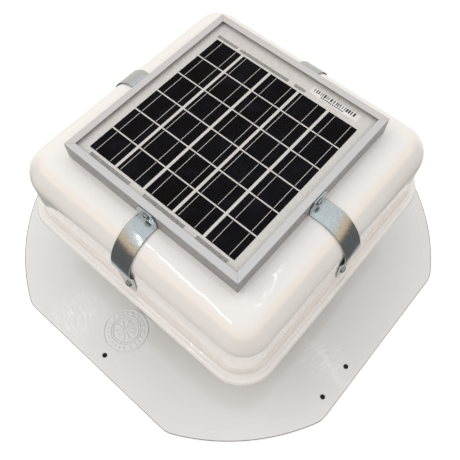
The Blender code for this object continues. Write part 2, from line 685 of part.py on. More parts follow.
def make_motor():
    bearing_seat = BEARING_RADIUS + GAP
    radius, wall = MOTOR_RADIUS, MOTOR_WALL
    floor = MOTOR_BOTTOM + MOTOR_FLOOR
    seat = floor - MOTOR_SEAT_SINK
    boss = seat + BEARING_HEIGHT
    shaft_way = SHAFT_HOLE + AIR_GAP
    can = [(radius, MOTOR_TOP), (radius, MOTOR_BOTTOM), (shaft_way, MOTOR_BOTTOM), (shaft_way, seat),
           (bearing_seat, seat), (bearing_seat, boss), (MOTOR_BOSS_RADIUS, boss),
           (MOTOR_BOSS_RADIUS + MOTOR_WALL, floor), (radius - wall, floor), (radius - wall, MOTOR_TOP)]
    made = turned("motor_can", can, "white_enamel", 28)
    screw_hole = SCREW_RADIUS + GAP
    holes = [(Matrix.Translation((x, y, MOTOR_BOTTOM)), screw_hole) for x, y in motor_screw_places()]
    add_boolean(made, cylinders("motor_can_holes", holes, 12))

    low = MOTOR_TOP + GAP
    seat_top = CAP_TOP - MOTOR_CAP_EDGE
    spigot = low - MOTOR_CAP_SPIGOT
    cap = [(0, CAP_TOP), (radius - 2 * MOTOR_CAP_EDGE, CAP_TOP), (radius, CAP_TOP - MOTOR_CAP_EDGE),
           (radius, low), (MOTOR_BOSS_RADIUS, low), (MOTOR_BOSS_RADIUS, spigot), (bearing_seat, spigot),
           (bearing_seat, seat_top), (0, seat_top)]
    turned("motor_cap", cap, "black_plastic", 28, closed=False)

    ring("bearing_lower", SHAFT_HOLE, BEARING_RADIUS, seat + GAP, boss + GAP, "bearing_steel", 16)
    ring("bearing_upper", SHAFT_HOLE, BEARING_RADIUS, seat_top - GAP - BEARING_HEIGHT, seat_top - GAP,
         "bearing_steel", 16)
    middle = (boss + low) / 2
    ring("magnet_ring", ARMATURE_RADIUS + AIR_GAP, radius - wall - GAP, middle - MAGNET_HEIGHT / 2,
         middle + MAGNET_HEIGHT / 2, "core_steel", 28)
    ring("armature", SHAFT_HOLE, ARMATURE_RADIUS, middle - ARMATURE_HEIGHT / 2,
         middle + ARMATURE_HEIGHT / 2, "core_steel", 28)
    screw_length = floor + MOTOR_SCREW_REACH - MOTOR_STRAP_Z
    for index, (x, y) in enumerate(motor_screw_places()):
        under = Matrix.Translation((x, y, MOTOR_STRAP_Z - GAP)) @ Matrix.Rotation(math.pi, 4, "X")
        pan_screw(f"motor_screw_{index + 1}", screw_length, under)

    hub_bottom = WHEEL_Z - HUB_BELOW
    top, bottom = seat_top - 2 * GAP, hub_bottom - SHAFT_TAIL
    shaft = [(0, top), (SHAFT_RADIUS, top), (SHAFT_RADIUS, bottom), (0, bottom)]
    turned("motor_shaft", shaft, "bearing_steel", 16, closed=False)


# Fan wheel and hub

def make_hub():
    flange_bottom = WHEEL_Z + WHEEL_SHEET / 2 + GAP
    flange_top = flange_bottom + HUB_FLANGE
    bottom = WHEEL_Z - HUB_BELOW
    hub = [(SHAFT_HOLE, flange_top), (HUB_FLANGE_RADIUS, flange_top), (HUB_FLANGE_RADIUS, flange_bottom),
           (HUB_RADIUS, flange_bottom), (HUB_RADIUS, bottom), (SHAFT_HOLE, bottom)]
    made = turned("fan_hub", hub, "wheel_aluminium", 24)
    screw_z = bottom + SET_SCREW_RISE
    hole = [(outward(90, HUB_RADIUS, screw_z), SET_SCREW_RADIUS + GAP)]
    add_boolean(made, cylinders("fan_hub_hole", hole, 12))
    length = HUB_RADIUS - SHAFT_RADIUS - GAP - SET_SCREW_SINK
    socket = SET_SCREW_RADIUS / 2
    profile = [(0, -SET_SCREW_SOCKET), (socket, -SET_SCREW_SOCKET), (socket, 0), (SET_SCREW_RADIUS, 0),
               (SET_SCREW_RADIUS, -length), (0, -length)]
    turned("hub_set_screw", profile, "bearing_steel", 12, closed=False,
           turn=outward(90, HUB_RADIUS - SET_SCREW_SINK, screw_z))


def make_wheel():
    """A pierced disc with blades, each a cambered grid twisted from its root pitch to its tip pitch."""
    blades = bmesh.new()
    along, across = 6, 4
    for blade in range(BLADE_COUNT):
        turn = Matrix.Rotation(math.tau * blade / BLADE_COUNT, 4, "Z")
        rows = []
        for i in range(along + 1):
            share = i / along
            radius = BLADE_ROOT + (WHEEL_RADIUS - BLADE_ROOT) * share
            chord = BLADE_ROOT_CHORD + (BLADE_TIP_CHORD - BLADE_ROOT_CHORD) * math.sin(share * math.pi / 2)
            pitch = BLADE_ROOT_PITCH + (BLADE_TIP_PITCH - BLADE_ROOT_PITCH) * share
            row = []
            for j in range(across + 1):
                place = j / across - 0.5
                angle = place * chord * math.cos(pitch) / radius
                lift = -place * chord * math.sin(pitch) + BLADE_CAMBER * (1 - 4 * place * place) * share
                flat = radius if i < along else radius - 0.25 * chord * abs(place) ** 3
                row.append(blades.verts.new(turn @ Vector((flat * math.cos(angle), flat * math.sin(angle),
                                                            WHEEL_Z + lift))))
            rows.append(row)
        for lower, upper in zip(rows, rows[1:]):
            for j in range(across):
                blades.faces.new((lower[j], upper[j], upper[j + 1], lower[j + 1]))
    made = finish("fan_wheel", mesh_from(blades), "wheel_aluminium", smooth=True)
    add_solidify(made, WHEEL_SHEET, 0)

    bm = bmesh.new()
    bmesh.ops.create_cone(bm, cap_ends=True, segments=30, radius1=WHEEL_DISC_RADIUS,
                          radius2=WHEEL_DISC_RADIUS, depth=WHEEL_SHEET,
                          matrix=Matrix.Translation((0, 0, WHEEL_Z)))
    add_boolean(made, cutter("fan_wheel_disc", bm), "UNION")
    bore = [(Matrix.Translation((0, 0, WHEEL_Z)), HUB_RADIUS + GAP)]
    add_boolean(made, cylinders("fan_wheel_bore", bore, 24))


make_flashing()
make_hood()
make_screen()
make_sheet("solar_glass", GLASS_THICKNESS, GLASS_TOP, "solar_glass")
make_sheet("cell_laminate", LAMINATE_THICKNESS, LAMINATE_TOP, "cell_sheet")
for side_name, side_angle in SIDES.items():
    make_leg(side_name, side_angle)
    make_rail(side_name, side_angle)
    make_strap(side_name, side_angle)
    make_side_fasteners(side_name, side_angle)
for key_x, side_x in ((1, "right"), (-1, "left")):
    for key_y, side_y in ((-1, "front"), (1, "back")):
        make_frame_key(f"frame_key_{side_y}_{side_x}", key_x, key_y)
make_junction()
make_lead()
make_grommet()
make_motor_strap("motor_strap_lower", 0, MOTOR_STRAP_Z)
make_motor_strap("motor_strap_upper", 90, MOTOR_STRAP_Z + MOTOR_STRAP_SHEET + GAP)
make_motor()
make_hub()
make_wheel()
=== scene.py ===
"""Solar attic fan: fine surfaces, finishes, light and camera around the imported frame.

Laid out as a Blender add-on and run as a script.  Metres, +Z up.  Front is -Y, right is +X, and the fan
wheel turns about Z.
"""

import math

import bmesh
import bpy
import numpy as np
from bpy.props import FloatProperty, FloatVectorProperty, IntProperty, PointerProperty
from mathutils import Matrix, Vector


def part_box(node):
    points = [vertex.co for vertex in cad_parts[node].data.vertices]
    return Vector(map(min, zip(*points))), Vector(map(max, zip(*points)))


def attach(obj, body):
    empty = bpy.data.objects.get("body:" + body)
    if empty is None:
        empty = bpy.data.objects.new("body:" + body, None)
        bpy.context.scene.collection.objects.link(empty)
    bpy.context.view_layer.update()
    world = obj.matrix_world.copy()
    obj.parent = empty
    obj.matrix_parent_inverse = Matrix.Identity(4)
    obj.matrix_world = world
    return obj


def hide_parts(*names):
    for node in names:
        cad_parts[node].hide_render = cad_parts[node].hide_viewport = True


bl_info = {
    "name": "Solar Attic Fan",
    "version": (1, 0, 0),
    "blender": (4, 5, 0),
    "location": "View3D > Sidebar > Attic Fan",
    "description": "Builds the fine surfaces and finishes of a solar attic fan",
    "category": "Object",
}

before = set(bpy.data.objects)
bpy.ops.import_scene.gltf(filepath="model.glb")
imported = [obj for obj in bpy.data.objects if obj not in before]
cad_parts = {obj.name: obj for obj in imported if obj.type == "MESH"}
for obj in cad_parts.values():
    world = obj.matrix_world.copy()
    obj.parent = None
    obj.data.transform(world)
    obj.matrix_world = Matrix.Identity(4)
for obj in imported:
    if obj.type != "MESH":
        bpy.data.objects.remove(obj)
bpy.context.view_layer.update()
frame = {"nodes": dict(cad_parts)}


def low(node):
    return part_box(node)[0]


def high(node):
    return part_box(node)[1]


def furthest(node):
    """How far a node reaches from the fan's axis along X or Y."""
    return max(np.abs(low(node)[:2]).max(), np.abs(high(node)[:2]).max())


# Places read from the frame
GAP = 0.0003
HOOD_SHEET = 0.0012
HOOD_TOP = high("hood").z
LIP_HALF = high("hood").x
WALL_HALF = high("hood_leg_right").x + GAP + HOOD_SHEET
PANEL_X = high("frame_rail_right").x
PANEL_Y = high("frame_rail_back").y
RAIL_BOTTOM = low("frame_rail_right").z
PANEL_TOP = high("frame_rail_right").z
GLASS_LOW, GLASS_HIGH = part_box("solar_glass")
SHEET_LOW, SHEET_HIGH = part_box("cell_laminate")
FLASHING_HALF = high("flashing").x
THROAT_TOP = high("flashing").z
STRAP_LOW, STRAP_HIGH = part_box("panel_strap_right")
HOOD_SCREW_Z = (low("hood_screw_right").z + high("hood_screw_right").z) / 2
RAIL_SCREW_Z = (low("rail_screw_right").z + high("rail_screw_right").z) / 2
WHEEL_LOW, WHEEL_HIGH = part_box("fan_wheel")
SIDES = {"front": -90, "right": 0, "back": 90, "left": 180}
REACH = {"front": PANEL_Y, "back": PANEL_Y, "right": PANEL_X, "left": PANEL_X}


# Shapes as arrays

def arc(centre, radius, start, stop, steps):
    """Points of an arc about centre: centre + radius * (cos t, sin t), t from start to stop degrees."""
    t = np.radians(np.linspace(start, stop, steps + 1))
    return np.stack([centre[0] + radius * np.cos(t), centre[1] + radius * np.sin(t)], 1)


def rounded(points, reach, closed=False, steps=4):
    """A polyline with its corners rounded.

    Each corner P is left at the point a reach before it and met again a reach after it, along
    (1 - t)^2 * before + 2 t (1 - t) * P + t^2 * after.
    """
    points = np.asarray(points, float)
    back, ahead = np.roll(points, 1, 0) - points, np.roll(points, -1, 0) - points
    ends = []
    for way in (back, ahead):
        length = np.maximum(np.linalg.norm(way, axis=1, keepdims=True), 1e-12)
        ends.append(points + way / length * np.minimum(reach, 0.45 * length))
    t = np.linspace(0, 1, steps + 1)[None, :, None]
    curve = (1 - t) ** 2 * ends[0][:, None] + 2 * t * (1 - t) * points[:, None] + t ** 2 * ends[1][:, None]
    if closed:
        return curve.reshape(-1, points.shape[1])
    return np.concatenate([points[:1], curve[1:-1].reshape(-1, points.shape[1]), points[-1:]])


def lathe(profile, steps=64):
    """A profile of (radius, z) turned about Z: point (r cos a, r sin a, z) for each turn angle a."""
    profile = np.asarray(profile, float)
    turn = np.linspace(0, math.tau, steps, endpoint=False)
    return np.stack([profile[:, :1] * np.cos(turn), profile[:, :1] * np.sin(turn),
                     np.repeat(profile[:, 1:], steps, 1)], 2)


def square_loops(half, corner, arc_steps=24, flat_steps=72):
    """Loops of squares with round corners, as complex numbers x + iy, one row for each half size and radius.

    A quarter is the corner's arc, centre + radius * (cos t, sin t), and the straight run to the next arc.
    The other quarters are that one turned by multiplying with i.
    """
    half, corner = np.asarray(half, float)[:, None], np.asarray(corner, float)[:, None]
    t = np.radians(np.linspace(0, 90, arc_steps + 1))
    flat = half - corner
    bend = flat + corner * np.cos(t) + 1j * (flat + corner * np.sin(t))
    run = flat * (1 - 2 * np.linspace(0, 1, flat_steps + 1)[1:-1]) + 1j * half
    quarter = np.concatenate([bend, run], 1)
    return np.concatenate([quarter, 1j * quarter, -quarter, -1j * quarter], 1)


def grid_normals(points):
    """Unit normals of a grid closed along its columns: the row step crossed with the column step."""
    along = np.gradient(points, axis=0)
    across = np.roll(points, -1, 1) - np.roll(points, 1, 1)
    normal = np.cross(along, across)
    return normal / np.maximum(np.linalg.norm(normal, axis=2, keepdims=True), 1e-12)


def waves(place, lengths, seed):
    """A smooth uneven ripple along place: the mean of sines, one for each wave length, with seeded phases."""
    phases = np.random.default_rng(seed).uniform(0, math.tau, len(lengths))
    sines = [np.sin(math.tau * place / length + phase) for length, phase in zip(lengths, phases)]
    return sum(sines) / len(sines)


def bell(value, centre, width):
    """exp(-((value - centre) / width)^2)."""
    return np.exp(-((value - centre) / width) ** 2)


def turned(points, degrees):
    """Points turned about Z: (x cos a - y sin a, x sin a + y cos a, z)."""
    a = math.radians(degrees)
    turn = np.array([[math.cos(a), math.sin(a), 0], [-math.sin(a), math.cos(a), 0], [0, 0, 1]])
    return points @ turn


def facing(points, degrees, reach, z):
    """Points whose own Z is made to point outward at a side: (reach + z, y, height - x), turned about Z."""
    moved = np.stack([reach + points[..., 2], points[..., 1], z - points[..., 0]], -1)
    return turned(moved, degrees)


def strip_grid(spine, sheet, bend=0.003):
    """A bent strip: a thin rectangle with round edges carried along a spine of (x, z, half width) in XZ.

    Each point is spine + height * normal, with the width along Y; the normal is the spine's way turned by 90
    degrees.
    """
    spine = rounded(spine, bend, steps=5)
    way = np.gradient(spine[:, :2], axis=0)
    way /= np.linalg.norm(way, axis=1, keepdims=True)
    edge = 0.4 * sheet
    corners = [(1, 1, 0), (-1, 1, 90), (-1, -1, 180), (1, -1, 270)]
    across, height = [], []
    for side, layer, start in corners:
        bow = arc((0, 0), edge, start, start + 90, 3)
        across.append(np.stack([np.full(4, side), bow[:, 0] - side * edge], 1))
        height.append(sheet / 2 + layer * (sheet / 2 - edge) + bow[:, 1])
    across, height = np.concatenate(across), np.concatenate(height)
    x = spine[:, :1] - way[:, 1:] * height
    z = spine[:, 1:2] + way[:, :1] * height
    y = spine[:, 2:] * across[:, 0] + across[:, 1]
    return np.stack([x, y, z], 2)


def tube_grid(path, radius, steps=6):
    """A round wire along a path: path + radius * (cos a * side + sin a * up), both square to its way."""
    way = np.gradient(path, axis=0)
    way /= np.linalg.norm(way, axis=1, keepdims=True)
    helper = np.where(np.abs(way[:, 2:]) > 0.9, [[1.0, 0, 0]], [[0, 0, 1.0]])
    side = np.cross(way, helper)
    side /= np.linalg.norm(side, axis=1, keepdims=True)
    up = np.cross(side, way)
    a = np.linspace(0, math.tau, steps, endpoint=False)[None, :, None]
    return path[:, None] + radius * (np.cos(a) * side[:, None] + np.sin(a) * up[:, None])


def slab_grids(rectangles, bottom, top, edge=0.0):
    """Flat slabs, one for each (x0, y0, x1, y1): the outline at the bottom, near the top and, drawn in, at
    the top."""
    grids = []
    for x0, y0, x1, y1 in rectangles:
        outline = np.array([(x0, y0), (x1, y0), (x1, y1), (x0, y1)])
        inner = outline + edge * np.array([(1, 1), (-1, 1), (-1, -1), (1, -1)])
        levels = [(outline, bottom), (outline, top - edge)] + ([(inner, top)] if edge else [])
        grids.append(np.stack([np.column_stack([flat, np.full(4, z)]) for flat, z in levels]))
    return grids


# Meshes from arrays

SHARP_ANGLE = math.radians(35)
CAPPED = {"caps": (True, True)}
RING = {"closed": (True, True)}
PLATE_EDGE = 0.00004


def surface(name, grids, finish, closed=(False, True), caps=(False, False), solid=True, edges=None):
    """One object from grids of points (rows, columns, 3), each face's normal being row step x column step.

    closed joins the last row or column to the first, caps close the first and last row with one face each,
    and a solid is welded and has its normals turned out.  The UV map holds metres along both steps.
    """
    points, faces, corners, start = [], [], [], 0
    for grid in grids:
        rows, columns = grid.shape[:2]
        r = np.arange(rows - (not closed[0]))
        c = np.arange(columns - (not closed[1]))
        r, c = (m.ravel() for m in np.meshgrid(r, c, indexing="ij"))
        corner_r, corner_c = np.stack([r, r + 1, r + 1, r], 1), np.stack([c, c, c + 1, c + 1], 1)
        faces += (start + corner_r % rows * columns + corner_c % columns).tolist()
        middle = columns // 2
        steps = np.linalg.norm(np.diff(grid[:, middle], axis=0), axis=1)
        along = np.concatenate([[0], np.cumsum(steps), [0]])
        widest = grid[np.argmax(np.ptp(grid[:, :, :2].reshape(rows, -1), axis=1))]
        across = np.concatenate([[0], np.cumsum(np.linalg.norm(np.roll(widest, -1, 0) - widest, axis=1))])
        corners.append(np.stack([along[corner_r], across[corner_c]], 2).reshape(-1, 2))
        ends = [(caps[0], np.arange(columns)), (caps[1], (rows - 1) * columns + np.arange(columns)[::-1])]
        for wanted, ring in ends:
            if wanted:
                faces.append((start + ring).tolist())
                corners.append(np.stack([along[ring // columns], across[ring % columns]], 1))
        points.append(grid.reshape(-1, 3))
        start += rows * columns
    mesh = bpy.data.meshes.new(name)
    mesh.from_pydata(np.concatenate(points).tolist(), [], faces)
    uv = np.concatenate(corners).astype(np.float32).ravel()
    mesh.uv_layers.new(name="UVMap").data.foreach_set("uv", uv)
    if solid:
        bm = bmesh.new()
        bm.from_mesh(mesh)
        bmesh.ops.remove_doubles(bm, verts=bm.verts, dist=1e-6)
        bmesh.ops.recalc_face_normals(bm, faces=bm.faces)
        bm.to_mesh(mesh)
        bm.free()
    mesh.materials.append(finish)
    if edges:
        mesh.materials.append(edges)
    mesh.shade_smooth()
    mesh.set_sharp_from_angle(angle=SHARP_ANGLE)
    made = bpy.data.objects.new(name, mesh)
    bpy.context.scene.collection.objects.link(made)
    return made


def thicken(piece, sheet, rim=0):
    """Give an open surface its wall, on the side away from its normals."""
    wall = piece.modifiers.new("wall", "SOLIDIFY")
    wall.thickness = sheet
    wall.offset = -1
    wall.use_even_offset = True
    wall.material_offset_rim = rim


def fit(piece, slot, *nodes, body="root"):
    """Let the piece ride on a body and stand for the frame's nodes; the slot is not used."""
    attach(piece, body)
    if nodes:
        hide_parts(*nodes)


def add_piece(name, finish_name, slot, grids, *nodes, body="root", **options):
    """A surface in a named finish, fitted at once."""
    fit(surface(name, grids, finish(finish_name), **options), slot, *nodes, body=body)


# Finishes

class Nodes:
    """Shader nodes added to one tree.  An input may be a socket or a value, and patterns run on the
    object's own coordinates unless they are given a source."""

    def __init__(self, tree, coordinates="Object"):
        self.tree = tree
        self.place = self.add("TexCoord").outputs[coordinates]

    def fill(self, socket, value):
        if isinstance(value, bpy.types.NodeSocket):
            self.tree.links.new(value, socket)
        else:
            socket.default_value = value

    def add(self, kind, inputs=None, **settings):
        made = self.tree.nodes.new("ShaderNode" + kind)
        for key, value in settings.items():
            setattr(made, key, value)
        for key, value in (inputs or {}).items():
            self.fill(made.inputs[key], value)
        return made

    def maths(self, operation, first, second):
        return self.add("Math", {0: first, 1: second}, operation=operation).outputs[0]

    def stretched(self, scale, source=None):
        return self.add("Mapping", {"Vector": source or self.place, "Scale": scale}).outputs["Vector"]

    def noise(self, scale, detail=2.0, source=None):
        inputs = {"Vector": source or self.place, "Scale": scale, "Detail": detail}
        return self.add("TexNoise", inputs).outputs["Fac"]

    def ranged(self, value, low_in, high_in, low_out=0.0, high_out=1.0):
        ends = {"From Min": low_in, "From Max": high_in, "To Min": low_out, "To Max": high_out}
        return self.add("MapRange", {"Value": value, **ends}).outputs["Result"]

    def gloss(self, pattern, smooth, dull):
        """Roughness from smooth to dull over the middle of a pattern."""
        return self.ranged(pattern, 0.3, 0.7, smooth, dull)

    def mixed(self, share, first, second):
        """Colour mix of two colours, given as three numbers or as a socket."""
        pair = [part if isinstance(part, bpy.types.NodeSocket) else (*part, 1) for part in (first, second)]
        return self.add("Mix", dict(zip((0, 6, 7), (share, *pair))), data_type="RGBA").outputs[2]

    def bumped(self, height, distance, below=None):
        inputs = {"Height": height, "Distance": distance, "Strength": 1.0}
        if below:
            inputs["Normal"] = below
        return self.add("Bump", inputs).outputs["Normal"]


class Finish(Nodes):
    """A Principled material in the making; sockets are named with underscores for spaces."""

    def __init__(self, name, colour, roughness, metallic=0.0, **sockets):
        self.material = bpy.data.materials.new(name)
        self.material.use_nodes = True
        self.colour = colour
        self.material.diffuse_color = (*colour, 1)
        super().__init__(self.material.node_tree)
        self.shader = self.tree.nodes["Principled BSDF"]
        self.wire(Base_Color=(*colour, 1), Roughness=roughness, Metallic=metallic, **sockets)

    def drift(self, pattern, factor, base=None):
        """The base, or the finish's colour, drawn to that colour times a factor where a pattern is high."""
        return self.mixed(pattern, base or self.colour, shifted(self.colour, factor))

    def wire(self, **sockets):
        for key, value in sockets.items():
            self.fill(self.shader.inputs[key.replace("_", " ")], value)
        return self.material


def shifted(colour, factor):
    return tuple(min(1.0, part * factor) for part in colour)


def hood_enamel(name, colour):
    """Glossy stove enamel on drawn sheet: faint tint drift, orange peel and slow waves in the skin."""
    made = Finish(name, colour, 0.16, Coat_Weight=1.0, Coat_Roughness=0.02, Coat_IOR=1.85)
    tint = made.drift(made.noise(7.0), 0.965)
    rough = made.gloss(made.noise(40.0, 4.0), 0.10, 0.17)
    slow = made.bumped(made.noise(20.0, 0.0), 0.0006)
    ripple = made.bumped(made.noise(75.0, 0.0), 0.00022, slow)
    peel = made.bumped(made.noise(420.0, 1.0), 0.00002, ripple)
    return made.wire(Base_Color=tint, Roughness=rough, Normal=peel, Coat_Normal=peel)


def flashing_enamel(name, colour):
    """Grey-white enamel on flat sheet: round draw lines about the throat, handling streaks whose glints are
    painted in near-white, and faint soil.
    """
    made = Finish(name, colour, 0.2, Coat_Weight=0.6, Coat_Roughness=0.05, Coat_IOR=1.6)
    soil = made.ranged(made.noise(60.0, 8.0), 0.62, 0.8, 0.0, 0.35)
    tint = made.drift(made.noise(5.0), 0.95)
    tint = made.drift(soil, 0.86, tint)
    inputs = {"Vector": made.stretched((1, 1, 0)), "Scale": 95.0, "Distortion": 0.6, "Detail": 1.0}
    rings = made.add("TexWave", inputs, wave_type="RINGS", rings_direction="Z").outputs["Fac"]
    lines = made.maths("MULTIPLY", rings, made.ranged(made.noise(14.0), 0.45, 0.7))
    scuff_glints = scuff_glint_share(made)
    # Painted highlight: the streaks' glints drawn into the colour as near-white; their scoring in the bump
    # below is real.
    tint = made.mixed(scuff_glints, tint, (0.97, 0.97, 0.97))
    slow = made.bumped(made.noise(16.0, 0.0), 0.0007)
    fine = made.bumped(lines, 0.00005, slow)
    scored = made.bumped(scuff_glints, 0.00006, fine)
    peel = made.bumped(made.noise(500.0, 1.0), 0.00002, scored)
    rough = made.gloss(made.noise(30.0, 5.0), 0.15, 0.26)
    return made.wire(Base_Color=tint, Roughness=rough, Normal=peel)


def scuff_glint_share(made):
    """Share of fine polishing streaks, at its most beside the front flat and the right flat's nail holes; it
    also carries their painted glints.
    """
    shares = []
    for centre, turn, reach in (((-0.080, -0.275, 0), -0.31, 0.050), ((0.258, -0.074, 0), 1.24, 0.044)):
        away = made.add("VectorMath", {0: made.place, 1: centre}, operation="DISTANCE").outputs["Value"]
        near = made.ranged(away, reach * 0.2, reach, 1.0, 0.0)
        inputs = {"Location": centre, "Rotation": (0, 0, turn), "Scale": (0.02, 0.0011, 1)}
        grain = made.add("Mapping", {"Vector": made.place, **inputs}, vector_type="TEXTURE").outputs["Vector"]
        streaks = made.ranged(made.noise(1.0, 2.0, grain), 0.48, 0.68)
        shares.append(made.maths("MULTIPLY", near, streaks))
    return made.maths("ADD", *shares)


def cut_edge(name):
    """The sheared edge of painted steel, where the grey core shows; its dark colour also paints a thin shade
    line along the top of the plate's outline.
    """
    made = Finish(name, (0.06, 0.08, 0.085), 0.5, 0.2)
    return made.wire(Base_Color=made.mixed(made.noise(300.0, 3.0), (0.03, 0.045, 0.05), (0.12, 0.14, 0.145)))


def zinc_plate(name, colour, roughness=0.2, spangle=520.0):
    """Galvanised steel: small crystals of slightly different brightness and gloss on a smooth rolled skin."""
    made = Finish(name, colour, roughness, 1.0)
    crystals = made.add("TexVoronoi", {"Vector": made.place, "Scale": spangle, "Randomness": 1.0})
    grey = made.add("RGBToBW", {"Color": crystals.outputs["Color"]}).outputs["Val"]
    tint = made.mixed(made.ranged(grey, 0.2, 0.8), shifted(colour, 0.93), shifted(colour, 1.05))
    stain = made.ranged(made.noise(40.0, 4.0), 0.55, 0.8, 0.0, 0.4)
    tint = made.drift(stain, 0.82, tint)
    rough = made.ranged(grey, 0.1, 0.9, roughness * 0.85, roughness * 1.3)
    return made.wire(Base_Color=tint, Roughness=rough, Normal=made.bumped(made.noise(700.0), 0.00001))


def anodised_aluminium(name, colour):
    """Matt clear-anodised extrusion: die lines along the rail, read from the UV map's metres, with painted
    light and shade: the outer side face darker, the top and the faces past it lighter.
    """
    made = Finish(name, colour, 0.32, 0.65)
    uv = made.add("UVMap", uv_map="UVMap").outputs["UV"]
    lines = made.noise(1.0, 4.0, made.stretched((6, 2500, 1), uv))
    height = made.add("SeparateXYZ", {"Vector": uv}).outputs["Y"]
    # Painted shade and highlight: darker below the top edge of the outer face, lighter from the top on, by
    # the UV map's place along the section.
    tint = made.mixed(made.ranged(height, 0.026, 0.0275), shifted(colour, 0.66), shifted(colour, 1.24))
    tint = made.drift(made.ranged(lines, 0.3, 0.7, 0.0, 0.25), 0.8, tint)
    rough = made.gloss(made.noise(80.0, 4.0), 0.33, 0.45)
    return made.wire(Base_Color=tint, Roughness=rough, Normal=made.bumped(lines, 0.00002))


def silicon_cell(name, colour):
    """Dark monocrystalline cell: bluish sheen in patches and fine printed fingers across the busbars."""
    made = Finish(name, colour, 0.4, Specular_IOR_Level=0.02)
    tint = made.mixed(made.ranged(made.noise(9.0), 0.35, 0.65), colour, (0.004, 0.0045, 0.007))
    frost = made.ranged(made.noise(45.0, 8.0), 0.5, 0.8, 0.0, 0.6)
    tint = made.mixed(frost, tint, (0.012, 0.013, 0.020))
    fingers = made.add("TexWave", {"Vector": made.place, "Scale": 174.0}, wave_type="BANDS",
                       bands_direction="Y").outputs["Fac"]
    tint = made.mixed(made.ranged(fingers, 0.93, 1.0, 0.0, 0.04), tint, (0.28, 0.28, 0.30))
    return made.wire(Base_Color=tint)


def back_sheet(name, colour):
    """White polymer backing seen through the glass, with a faint mottle from the laminating film."""
    made = Finish(name, colour, 0.5)
    mottle = made.noise(260.0, 4.0)
    tint = made.drift(made.ranged(mottle, 0.35, 0.7), 0.9)
    return made.wire(Base_Color=tint, Normal=made.bumped(mottle, 0.0001))


def tinned_ribbon(name, colour, knurl):
    """Solder-dipped copper ribbon; knurl is the share of a pressed dot pattern in it."""
    made = Finish(name, colour, 0.42, 0.35)
    dots = made.add("TexVoronoi", {"Vector": made.place, "Scale": 650.0, "Randomness": 0.7})
    spots = made.ranged(dots.outputs["Distance"], 0.15, 0.6, 0.0, knurl)
    tint = made.drift(spots, 0.35)
    return made.wire(Base_Color=tint, Normal=made.bumped(spots, 0.0001))


def clear_glass(name):
    """Low-iron cover glass with an anti-glare coat of slightly uneven gloss."""
    made = Finish(name, (0.010, 0.008, 0.007), 0.35, Alpha=0.05, Specular_IOR_Level=0.1)
    return made.wire(Roughness=made.gloss(made.noise(14.0, 1.0), 0.32, 0.40))


def moulded(name, colour, roughness, grain_scale=900.0):
    """Moulded plastic or rubber with a fine spark-eroded grain."""
    made = Finish(name, colour, roughness)
    grain = made.noise(grain_scale, 3.0)
    tint = made.drift(made.noise(35.0, 3.0), 1.5)
    rough = made.gloss(grain, roughness * 0.85, roughness * 1.1)
    return made.wire(Base_Color=tint, Roughness=rough, Normal=made.bumped(grain, 0.00005))


def machined(name, colour, roughness):
    """Turned or rolled metal with fine lines round Z and slight staining."""
    made = Finish(name, colour, roughness, 1.0)
    lines = made.noise(1.0, 3.0, made.stretched((40, 40, 3000)))
    tint = made.mixed(made.noise(45.0, 4.0), shifted(colour, 0.85), shifted(colour, 1.08))
    rough = made.gloss(lines, roughness * 0.8, roughness * 1.2)
    return made.wire(Base_Color=tint, Roughness=rough, Normal=made.bumped(lines, 0.00002))


def painted(name, colour, roughness=0.35):
    """Sprayed enamel on the motor's can."""
    made = Finish(name, colour, roughness, Coat_Weight=0.2)
    tint = made.drift(made.noise(20.0, 3.0), 0.92)
    return made.wire(Base_Color=tint, Normal=made.bumped(made.noise(600.0), 0.00004))


FINISHES = {}


def finish(name):
    """A finish by name, made once from the panel's colours."""
    if name not in FINISHES:
        tones = bpy.context.scene.attic_fan_colours
        makers = {
            "hood_enamel": (hood_enamel, tones.hood),
            "flashing_enamel": (flashing_enamel, tones.flashing),
            "cut_edge": (cut_edge,),
            "zinc_strip": (zinc_plate, tones.zinc),
            "zinc_fastener": (zinc_plate, shifted(tones.zinc, 0.92), 0.2, 900.0),
            "screen_wire": (zinc_plate, shifted(tones.zinc, 0.8), 0.4, 500.0),
            "anodised_aluminium": (anodised_aluminium, tones.frame),
            "silicon_cell": (silicon_cell, tones.cell),
            "back_sheet": (back_sheet, tones.backing),
            "busbar": (tinned_ribbon, (0.62, 0.61, 0.60), 0.0),
            "string_ribbon": (tinned_ribbon, (0.52, 0.52, 0.50), 0.75),
            "label_paper": (moulded, (0.70, 0.70, 0.69), 0.6, 400.0),
            "label_ink": (moulded, (0.006, 0.006, 0.006), 0.6),
            "clear_glass": (clear_glass,),
            "black_plastic": (moulded, (0.02, 0.02, 0.021), 0.5),
            "black_rubber": (moulded, (0.016, 0.016, 0.016), 0.75),
            "bearing_steel": (machined, (0.60, 0.60, 0.61), 0.25),
            "core_steel": (machined, (0.28, 0.26, 0.25), 0.5),
            "wheel_aluminium": (machined, (0.78, 0.79, 0.80), 0.33),
            "motor_enamel": (painted, (0.014, 0.014, 0.016)),
        }
        maker, *values = makers[name]
        FINISHES[name] = maker(name, *values)
    return FINISHES[name]


# Settings

def length_field(name, description, default):
    return FloatProperty(name=name, description=description, default=default, unit="LENGTH")


def colour_field(name, description, default):
    return FloatVectorProperty(name=name, description=description, default=default, subtype="COLOR")


def angle_field(name, description, degrees):
    return FloatProperty(name=name, description=description, default=math.radians(degrees), subtype="ANGLE")


